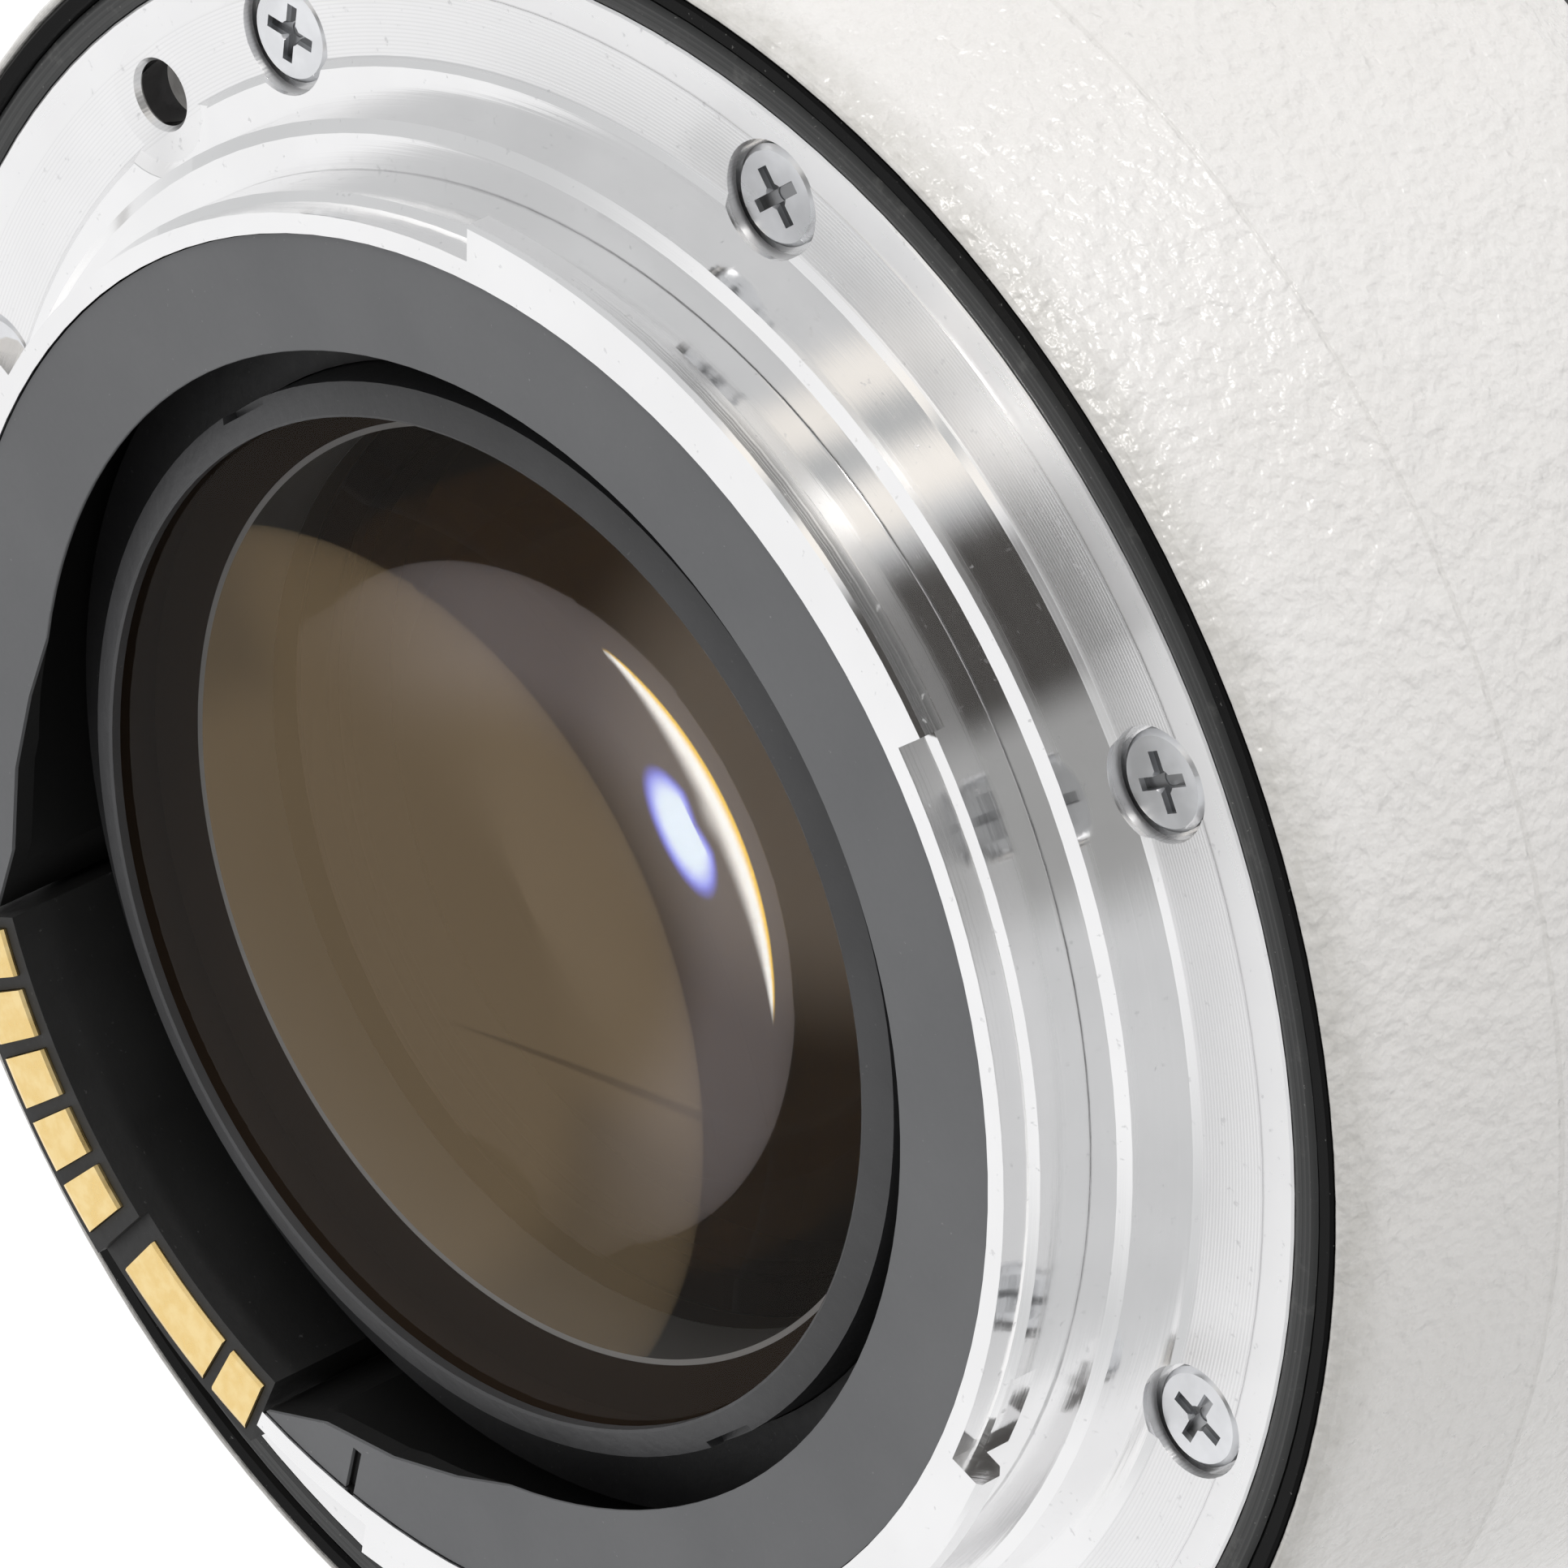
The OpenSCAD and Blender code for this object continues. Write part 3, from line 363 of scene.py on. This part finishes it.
def baffle(name):
    """Matte grey plate, black below its upper face as painted shade."""
    low = (0.148, 0.152, 0.160)
    high = (0.167, 0.171, 0.179)
    speck_grey = (0.5, 0.5, 0.5)
    under_painted_shade = (0.008, 0.008, 0.008)
    speck_share = 0.25
    material, tree, out = new_material(name)
    place = Place(tree)
    grain = noise(tree, place.point, scale=4200.0, detail=4.0)
    cloud = noise(tree, place.point, scale=140.0)
    speck = span(tree, noise(tree, place.point, scale=5200.0, detail=2.0), low=0.73, high=0.78)
    tone = blend_colour(tree, span(tree, cloud, low=0.3, high=0.7), low, high)
    tone = blend_colour(tree, times(tree, speck, speck_share), tone, speck_grey)
    # Painted shade: below its upper face the plate is black.
    upper = calc(tree, "GREATER_THAN", place.z, BAFFLE_FACE)
    shader(tree, out, {"Base Color": blend_colour(tree, upper, under_painted_shade, tone),
                       "Roughness": vary(tree, grain, gain=0.15, base=0.5),
                       "Normal": bump(tree, grain, distance=0.00001, strength=0.6)})
    return material


def matte(name, low, high, rough, grain_scale, grain_depth, wear):
    """Matte black or grey; wear is the share of pale specks."""
    speck_grey = (0.4, 0.4, 0.4)
    material, tree, out = new_material(name)
    place = Place(tree)
    grain = noise(tree, place.point, grain_scale, detail=4.0)
    cloud = noise(tree, place.point, scale=140.0)
    tone = blend_colour(tree, span(tree, cloud, low=0.3, high=0.7), low, high)
    speck = span(tree, noise(tree, place.point, scale=5200.0, detail=2.0), low=0.7, high=0.76)
    shader(tree, out, {"Base Color": blend_colour(tree, times(tree, speck, wear), tone, speck_grey),
                       "Roughness": vary(tree, grain, gain=0.16, base=rough),
                       "Normal": bump(tree, grain, grain_depth, strength=0.6)})
    return material


def gold(name):
    low = (0.90, 0.66, 0.28)
    high = (0.97, 0.76, 0.38)
    material, tree, out = new_material(name)
    place = Place(tree)
    rub = noise(tree, place.point, scale=1500.0, detail=4.0)
    shader(tree, out, {"Base Color": blend_colour(tree, span(tree, rub, low=0.35, high=0.7), low, high),
                       "Metallic": 1.0, "Roughness": vary(tree, rub, gain=0.2, base=0.2),
                       "Normal": bump(tree, rub, distance=0.00001, strength=0.4)})
    return material


def enamel(name, low, high):
    material, tree, out = new_material(name)
    place = Place(tree)
    cloud = noise(tree, place.point, scale=900.0)
    shader(tree, out, {"Base Color": blend_colour(tree, cloud, low, high),
                       "Roughness": vary(tree, cloud, gain=0.15, base=0.2),
                       "Normal": bump(tree, cloud, distance=0.00003, strength=0.3)})
    return material


# Glass: the outer face bends light, the faces behind it only mirror a tinted part of it

def outer_face(tree, tint, coating):
    """Coated glass: coating is the share of the outside reflection that it takes away."""
    glass = put(tree, "ShaderNodeBsdfPrincipled", {
        "Base Color": WHITE, "Roughness": 0.0, "IOR": GLASS_IOR, "Transmission Weight": 1.0,
        "Specular Tint": tint})
    bend = put(tree, "ShaderNodeBsdfRefraction", {"Color": WHITE, "Roughness": 0.0, "IOR": GLASS_IOR})
    within = put(tree, "ShaderNodeNewGeometry").outputs["Backfacing"]
    outside = calc(tree, "SUBTRACT", 1.0, within)
    coated = mix_shader(tree, times(tree, outside, coating), glass.outputs[0], bend.outputs[0])
    clear = put(tree, "ShaderNodeBsdfTransparent")
    path = put(tree, "ShaderNodeLightPath")
    return mix_shader(tree, path.outputs["Is Shadow Ray"], coated, clear.outputs[0])


def inner_face(tree, share, tint):
    """A clear face that mirrors a tinted share of the light; shadows pass through it."""
    clear = put(tree, "ShaderNodeBsdfTransparent")
    mirror = put(tree, "ShaderNodeBsdfGlossy", {"Color": tint, "Roughness": 0.0})
    path = put(tree, "ShaderNodeLightPath")
    lit = calc(tree, "SUBTRACT", 1.0, path.outputs["Is Shadow Ray"])
    return mix_shader(tree, times(tree, lit, share), clear.outputs[0], mirror.outputs[0])


def ground(tree, place, low, high):
    """The ground edge of a lens."""
    grain = noise(tree, place.point, scale=240.0, detail=4.0)
    return put(tree, "ShaderNodeBsdfDiffuse", {"Color": blend_colour(tree, grain, low, high)}).outputs[0]


def lens_7_glass():
    """The rear element: coated top, mirroring bowl below, and a pale bevel line round the bowl."""
    material, tree, out = new_material("lens_7_glass")
    place = Place(tree)
    top = outer_face(tree, tint=(0.13, 0.105, 0.085), coating=0.65)
    wall = ground(tree, place, low=(0.030, 0.0200, 0.0130), high=(0.036, 0.0245, 0.0165))
    bowl = inner_face(tree, share=0.105, tint=(1.0, 0.71, 0.385))
    bevel = ground(tree, place, low=(0.34, 0.33, 0.32), high=(0.42, 0.41, 0.40))
    rim = calc(tree, "GREATER_THAN", place.r, BOWL_RIM_R)
    line = calc(tree, "GREATER_THAN", place.r, BOWL_BEVEL_R)
    low = mix_shader(tree, line, bowl, bevel)
    low = mix_shader(tree, rim, low, wall)
    is_top = calc(tree, "GREATER_THAN", place.z, LENS_7_TOP)
    body = mix_shader(tree, is_top, low, top)
    is_wall = calc(tree, "GREATER_THAN", place.r, LENS_7_WALL_R)
    tree.links.new(mix_shader(tree, is_wall, body, wall), out.inputs[0])
    return material


def inner_glass(name, split, top_share, top_tint, low_share, low_tint, wall_low, wall_high):
    """A cemented element: split is the height that parts its upper face from its lower one."""
    material, tree, out = new_material(name)
    place = Place(tree)
    upper = inner_face(tree, top_share, top_tint)
    lower = inner_face(tree, low_share, low_tint)
    wall = ground(tree, place, wall_low, wall_high)
    is_upper = calc(tree, "GREATER_THAN", place.z, split)
    body = mix_shader(tree, is_upper, lower, upper)
    is_wall = calc(tree, "GREATER_THAN", place.r, CEMENTED_WALL_R)
    tree.links.new(mix_shader(tree, is_wall, body, wall), out.inputs[0])
    return material


def deep_glass(name):
    """Glass far inside, seen as a dark gloss."""
    low = (0.010, 0.008, 0.006)
    high = (0.016, 0.012, 0.009)
    material, tree, out = new_material(name)
    place = Place(tree)
    cloud = noise(tree, place.point, scale=300.0, detail=2.0)
    shader(tree, out, {"Base Color": blend_colour(tree, cloud, low, high),
                       "Roughness": vary(tree, cloud, gain=0.05, base=0.02),
                       "Coat Weight": 0.3, "Coat Roughness": 0.03})
    return material


def painted_haze_glass(name):
    """The middle group as the rear group shows it: an opaque brown, painted light that stands in for the
    haze of light seen through the glass.
    """
    low = (0.50, 0.42, 0.34)
    high = (0.60, 0.51, 0.42)
    material, tree, out = new_material(name)
    place = Place(tree)
    cloud = noise(tree, place.point, scale=120.0, detail=2.0)
    shader(tree, out, {"Base Color": blend_colour(tree, cloud, low, high),
                       "Roughness": vary(tree, cloud, gain=0.1, base=0.25)})
    return material


def front_glass(name):
    """The front element: coated outer face, bluish face behind it."""
    material, tree, out = new_material(name)
    place = Place(tree)
    face = outer_face(tree, tint=(0.3, 0.4, 0.5), coating=0.5)
    back = inner_face(tree, share=0.05, tint=(0.5, 0.75, 1.0))
    wall = ground(tree, place, low=(0.012, 0.012, 0.012), high=(0.02, 0.02, 0.02))
    is_back = calc(tree, "GREATER_THAN", place.z, LENS_1_BACK)
    body = mix_shader(tree, is_back, face, back)
    is_wall = calc(tree, "GREATER_THAN", place.r, LENS_1_WALL_R)
    tree.links.new(mix_shader(tree, is_wall, body, wall), out.inputs[0])
    return material


def dress(material, *names):
    """Gives the named nodes one material all over."""
    for name in names:
        slots = nodes[name].data.materials
        slots.clear()
        slots.append(material)
        for face in nodes[name].data.polygons:
            face.material_index = 0


dress(chrome("chrome_turned"), "rear_mount", "front_mount")
dress(steel("screw_zinc", tone=(0.87, 0.88, 0.90), rough_low=0.2, recess_z=RECESS_TOP),
      "rear_mount_screws", "front_mount_screws", "optics_screws")
spring_satin = steel("spring_satin", tone=(0.62, 0.62, 0.64), rough_low=0.25)
dress(spring_satin, "mount_springs", "lock_spring", "lock_pin", "lever_slide")
dress(rubber("gasket_dusty"), "rear_gasket")
dress(gloss_black("trim_black"), "rear_trim_ring")
dress(paint("barrel_white"), "barrel")
dress(baffle("baffle_dark"), "rear_baffle")
dress(matte("block_black", low=(0.012, 0.012, 0.012), high=(0.02, 0.02, 0.02), rough=0.5,
            grain_scale=3000.0, grain_depth=0.00002, wear=0.1),
      "rear_contact_block", "front_contact_block", "front_shield")
dress(gold("contact_gold"), "rear_contact_pads", *["contact_pin_%d" % k for k in range(1, 9)])
dress(matte("cell_black", low=(0.010, 0.010, 0.011), high=(0.018, 0.018, 0.019), rough=0.45,
            grain_scale=2500.0, grain_depth=0.00003, wear=0.1),
      "optics_barrel", "nose_tube", "spacer_ring", "front_retaining_ring")
dress(matte("ring_dark", low=(0.050, 0.0505, 0.0530), high=(0.068, 0.069, 0.0730), rough=0.34,
            grain_scale=2200.0, grain_depth=0.00004, wear=0.1),
      "rear_retaining_ring")
dress(matte("lever_black", low=(0.018, 0.018, 0.019), high=(0.03, 0.03, 0.031), rough=0.4,
            grain_scale=1800.0, grain_depth=0.00004, wear=0.15),
      "release_lever")
dress(enamel("index_red", low=(0.5, 0.01, 0.01), high=(0.7, 0.03, 0.025)),
      "rear_index_dot", "front_index_dot")
dress(enamel("flex_amber", low=(0.32, 0.14, 0.03), high=(0.5, 0.26, 0.08)), "flex_cable")
dress(enamel("board_green", low=(0.01, 0.08, 0.03), high=(0.03, 0.16, 0.07)), "circuit_board")
dress(lens_7_glass(), "lens_7")
dress(inner_glass("lens_6_glass", LENS_6_SPLIT, top_share=0.0, top_tint=WHITE, low_share=0.0,
                  low_tint=WHITE, wall_low=(0.10, 0.095, 0.09), wall_high=(0.13, 0.125, 0.12)), "lens_6")
# lens_5's ground edge is pale brown, painted light that stands in for the light seen on it through the
# glass.
dress(inner_glass("lens_5_glass", LENS_5_SPLIT, top_share=0.1, top_tint=(1.0, 0.84, 0.68), low_share=0.4,
                  low_tint=WHITE, wall_low=(0.11, 0.092, 0.075), wall_high=(0.13, 0.11, 0.09)), "lens_5")
dress(deep_glass("lens_deep"), "lens_2", "lens_3")
# lens_4 carries painted light: an opaque brown haze in place of clear glass.
dress(painted_haze_glass("lens_4_glass"), "lens_4")
dress(front_glass("lens_1_glass"), "lens_1")


# Lock spring

def lock_coil():
    """A coil of round wire in place of the faceted solid."""
    low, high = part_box("lock_spring")
    centre_x = (low[0] + high[0]) / 2
    centre_y = (low[1] + high[1]) / 2
    coil_r = (high[0] - low[0]) / 2 - WIRE_R
    rise = high[2] - low[2] - 2 * WIRE_R
    steps = COIL_TURNS * COIL_STEPS
    points = []
    for i in range(steps + 1):
        turn = 2 * math.pi * i / COIL_STEPS
        height = low[2] + WIRE_R + rise * i / steps
        for j in range(WIRE_SIDES):
            around = 2 * math.pi * j / WIRE_SIDES
            reach = coil_r + WIRE_R * math.cos(around)
            points.append((centre_x + reach * math.cos(turn), centre_y + reach * math.sin(turn),
                           height + WIRE_R * math.sin(around)))
    faces = [list(range(WIRE_SIDES)), [steps * WIRE_SIDES + WIRE_SIDES - 1 - j for j in range(WIRE_SIDES)]]
    for i in range(steps):
        for j in range(WIRE_SIDES):
            k = (j + 1) % WIRE_SIDES
            faces.append([i * WIRE_SIDES + j, (i + 1) * WIRE_SIDES + j,
                          (i + 1) * WIRE_SIDES + k, i * WIRE_SIDES + k])
    mesh = bpy.data.meshes.new("lock_spring_coil")
    mesh.from_pydata(points, [], faces)
    mesh.materials.append(spring_satin)
    for face in mesh.polygons:
        face.use_smooth = len(face.vertices) == 4
    coil_piece = bpy.data.objects.new("lock_spring_coil", mesh)
    bpy.context.collection.objects.link(coil_piece)
    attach(coil_piece, "body")
    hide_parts("lock_spring")
    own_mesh(coil_piece)


lock_coil()


# Floor, light and camera

def floor():
    """A pale floor that can't be seen from below."""
    size = 3.0
    low = (0.90, 0.90, 0.90)
    high = (0.93, 0.93, 0.93)
    mesh = bpy.data.meshes.new("floor")
    corners = [(-size, -size, 0), (size, -size, 0), (size, size, 0), (-size, size, 0)]
    mesh.from_pydata(corners, [], [(0, 1, 2, 3)])
    plane = bpy.data.objects.new("floor", mesh)
    bpy.context.collection.objects.link(plane)
    material, tree, out = new_material("floor_pale")
    place = Place(tree)
    cloud = noise(tree, place.point, scale=6.0, detail=2.0)
    colour = blend_colour(tree, cloud, low, high)
    pale = put(tree, "ShaderNodeBsdfPrincipled", {"Base Color": colour, "Roughness": 0.8})
    glow = put(tree, "ShaderNodeEmission", {"Strength": 0.5})
    both = put(tree, "ShaderNodeAddShader", {0: pale.outputs[0], 1: glow.outputs[0]})
    path = put(tree, "ShaderNodeLightPath")
    above = mix_shader(tree, shown_rays(tree, path), pale.outputs[0], both.outputs[0])
    under = put(tree, "ShaderNodeNewGeometry").outputs["Backfacing"]
    clear = put(tree, "ShaderNodeBsdfTransparent")
    tree.links.new(mix_shader(tree, under, above, clear.outputs[0]), out.inputs[0])
    mesh.materials.append(material)


def world():
    """The studio tent, in degrees: azimuth turns from -Y to +X, far from +Y to +X, rise is the height."""
    degrees = 180.0 / math.pi
    tent_white = (0.97, 0.97, 0.975)
    side_grey = (0.66, 0.665, 0.67)
    dusk_grey = (0.38, 0.38, 0.375)
    fold_grey = (0.46, 0.47, 0.475)
    panel_white = (1.04, 0.99, 0.92)
    opening_dark = (0.06, 0.056, 0.052)
    seam_dark = (0.2, 0.18, 0.16)
    light_colour = (1.0, 0.99, 0.975)
    scene_world = bpy.data.worlds.new("tent")
    bpy.context.scene.world = scene_world
    scene_world.use_nodes = True
    tree = scene_world.node_tree
    tree.nodes.clear()
    out = put(tree, "ShaderNodeOutputWorld")
    coords = put(tree, "ShaderNodeTexCoord")
    split = put(tree, "ShaderNodeSeparateXYZ", {0: coords.outputs["Generated"]})
    azimuth = calc(tree, "ARCTAN2", split.outputs[0], times(tree, split.outputs[1], -1.0))
    azimuth = times(tree, azimuth, degrees)
    far = times(tree, calc(tree, "ARCTAN2", split.outputs[0], split.outputs[1]), degrees)
    rise = times(tree, calc(tree, "ARCSINE", split.outputs[2]), degrees)
    path = put(tree, "ShaderNodeLightPath")

    def patch(sides, heights, soft):
        """A field of the tent between two azimuths and two heights, with soft edges."""
        left = span(tree, azimuth, sides[0] - soft, sides[0] + soft)
        right = span(tree, azimuth, sides[1] - soft, sides[1] + soft, start=1.0, end=0.0)
        low = span(tree, rise, heights[0] - soft, heights[0] + soft)
        high = span(tree, rise, heights[1] - soft, heights[1] + soft, start=1.0, end=0.0)
        return times(tree, times(tree, left, right), times(tree, low, high))

    def long_lamp():
        """A long white lamp low on the far side, golden along its lower edge."""
        centre = 1.0
        half_width = 36.0
        height = 11.0
        base = 21.0
        soft = 0.7
        gold_edge = (1.0, 0.62, 0.08)
        warm_white = (1.0, 0.98, 0.93)
        across = calc(tree, "DIVIDE", calc(tree, "SUBTRACT", far, centre), half_width)
        tall = vary(tree, times(tree, across, across), gain=-height, base=height)
        step = calc(tree, "DIVIDE", calc(tree, "SUBTRACT", rise, base), calc(tree, "MAXIMUM", tall, 0.1))
        mask = times(tree, span(tree, rise, base - soft, base + soft),
                     span(tree, step, low=0.45, high=1.15, start=1.0, end=0.0))
        mask = times(tree, mask, span(tree, tall, low=0.3, high=3.5))
        return mask, blend_colour(tree, span(tree, step, low=0.05, high=0.4), gold_edge, warm_white)

    def round_lamp():
        """A round lamp above it, blue towards its edge."""
        narrowing = 0.74
        half_width = 10.6
        half_height = 7.7
        centre_rise = 42.2
        cool_white = (0.80, 0.90, 1.0)
        blue_edge = (0.20, 0.22, 0.9)
        across = times(tree, far, narrowing / half_width)
        up = calc(tree, "DIVIDE", calc(tree, "SUBTRACT", rise, centre_rise), half_height)
        reach = calc(tree, "SQRT", calc(tree, "ADD", times(tree, across, across), times(tree, up, up)))
        colour = blend_colour(tree, span(tree, reach, low=0.5, high=1.0), cool_white, blue_edge)
        return span(tree, reach, low=0.8, high=1.1, start=1.0, end=0.0), colour

    def tent():
        """What chrome and the outer glass show: bands and panels on the camera side, a seam behind."""
        seam_far = 29.0
        dusk = patch(sides=(-36.0, 0.0), heights=(2.0, 62.0), soft=6.0)
        dark = patch(sides=(-6.0, 22.5), heights=(14.0, 62.0), soft=4.0)
        panel = calc(tree, "MAXIMUM", patch(sides=(27.0, 36.0), heights=(8.0, 62.0), soft=2.5),
                     patch(sides=(44.0, 53.0), heights=(8.0, 62.0), soft=2.5))
        fold = patch(sides=(36.5, 43.5), heights=(8.0, 62.0), soft=2.0)
        side = patch(sides=(-113.0, 147.0), heights=(0.0, 49.0), soft=7.0)
        beside_seam = calc(tree, "ABSOLUTE", calc(tree, "SUBTRACT", far, seam_far))
        seam = times(tree, span(tree, beside_seam, low=0.3, high=1.0, start=0.45, end=0.0),
                     span(tree, rise, low=78.0, high=60.0))
        view = blend_colour(tree, side, tent_white, side_grey)
        view = blend_colour(tree, dusk, view, dusk_grey)
        view = blend_colour(tree, fold, view, fold_grey)
        view = blend_colour(tree, panel, view, panel_white)
        view = blend_colour(tree, dark, view, opening_dark)
        return blend_colour(tree, seam, view, seam_dark)

    def inner_tent():
        """What the cemented glass shows after its many faces: a dimmer tent with the lamps in it."""
        low_haze = (0.34, 0.30, 0.30)
        high_haze = (0.15, 0.12, 0.095)
        side_dark = (0.05, 0.04, 0.035)
        long_power = (3.8, 3.8, 3.8)
        round_power = (3.6, 3.6, 3.6)
        view = blend_colour(tree, span(tree, rise, low=40.0, high=62.0), low_haze, high_haze)
        aside = span(tree, calc(tree, "ABSOLUTE", far), low=60.0, high=115.0)
        view = blend_colour(tree, aside, view, side_dark)
        long_mask, long_colour = long_lamp()
        round_mask, round_colour = round_lamp()
        long_glow = blend_colour(tree, 1.0, long_colour, long_power, "MULTIPLY")
        round_glow = blend_colour(tree, 1.0, round_colour, round_power, "MULTIPLY")
        view = blend_colour(tree, long_mask, view, long_glow)
        return blend_colour(tree, round_mask, view, round_glow)

    upper_dark = (0.03, 0.025, 0.02)
    upper_white = (0.97, 0.97, 0.97)
    middle_depth = 4.5
    deep_depth = 6.5
    upper = blend_colour(tree, span(tree, rise, low=42.0, high=72.0), upper_dark, upper_white)
    middle = calc(tree, "GREATER_THAN", path.outputs["Transparent Depth"], middle_depth)
    deep = calc(tree, "GREATER_THAN", path.outputs["Transparent Depth"], deep_depth)
    seen = blend_colour(tree, middle, tent(), upper)
    seen = blend_colour(tree, deep, seen, inner_tent())
    seen = blend_colour(tree, path.outputs["Is Camera Ray"], seen, WHITE)
    lit = put(tree, "ShaderNodeBackground", {"Color": light_colour, "Strength": 0.62})
    sight = put(tree, "ShaderNodeBackground", {"Color": seen, "Strength": 1.0})
    tree.links.new(mix_shader(tree, shown_rays(tree, path), lit.outputs[0], sight.outputs[0]), out.inputs[0])


def area_lamp(name, place, target, size, power, colour, only_gloss=False):
    """A round lamp that gives either gloss alone or all but gloss."""
    data = bpy.data.lights.new(name, "AREA")
    data.shape = "DISK"
    data.size = size
    data.energy = power
    data.color = colour
    lamp = bpy.data.objects.new(name, data)
    bpy.context.collection.objects.link(lamp)
    lamp.visible_transmission = False
    lamp.visible_diffuse = not only_gloss
    lamp.visible_glossy = only_gloss
    lamp.location = place
    back = lamp.location - Matrix.Translation(target).translation
    lamp.rotation_euler = back.to_track_quat("Z", "Y").to_euler()


def camera():
    """The camera that was fitted to the photograph."""
    data = bpy.data.cameras.new("camera")
    data.sensor_width = 36.0
    data.lens = 372.67
    data.clip_start = 0.05
    data.clip_end = 20.0
    item = bpy.data.objects.new("camera", data)
    bpy.context.collection.objects.link(item)
    right = (-0.42878, -0.56175, -0.70752)
    up = (0.90341, -0.26662, -0.33581)
    back = (0.0, -0.78317, 0.62181)
    spot = (-0.00005, -0.42335, 0.37385)
    rows = [[right[i], up[i], back[i], spot[i]] for i in range(3)]
    item.matrix_world = Matrix(rows + [[0, 0, 0, 1]])
    bpy.context.scene.camera = item


floor()
world()
area_lamp("front", place=(0.537, -0.537, 0.29), target=(0, 0, 0.04), size=0.58, power=2.7,
          colour=(1.0, 0.985, 0.97))
area_lamp("spark", place=(0.26, -0.46, 0.075), target=(0, 0, 0.04), size=0.085, power=1.0,
          colour=(1.0, 0.98, 0.96), only_gloss=True)
camera()
bpy.context.scene.view_settings.view_transform = "Standard"
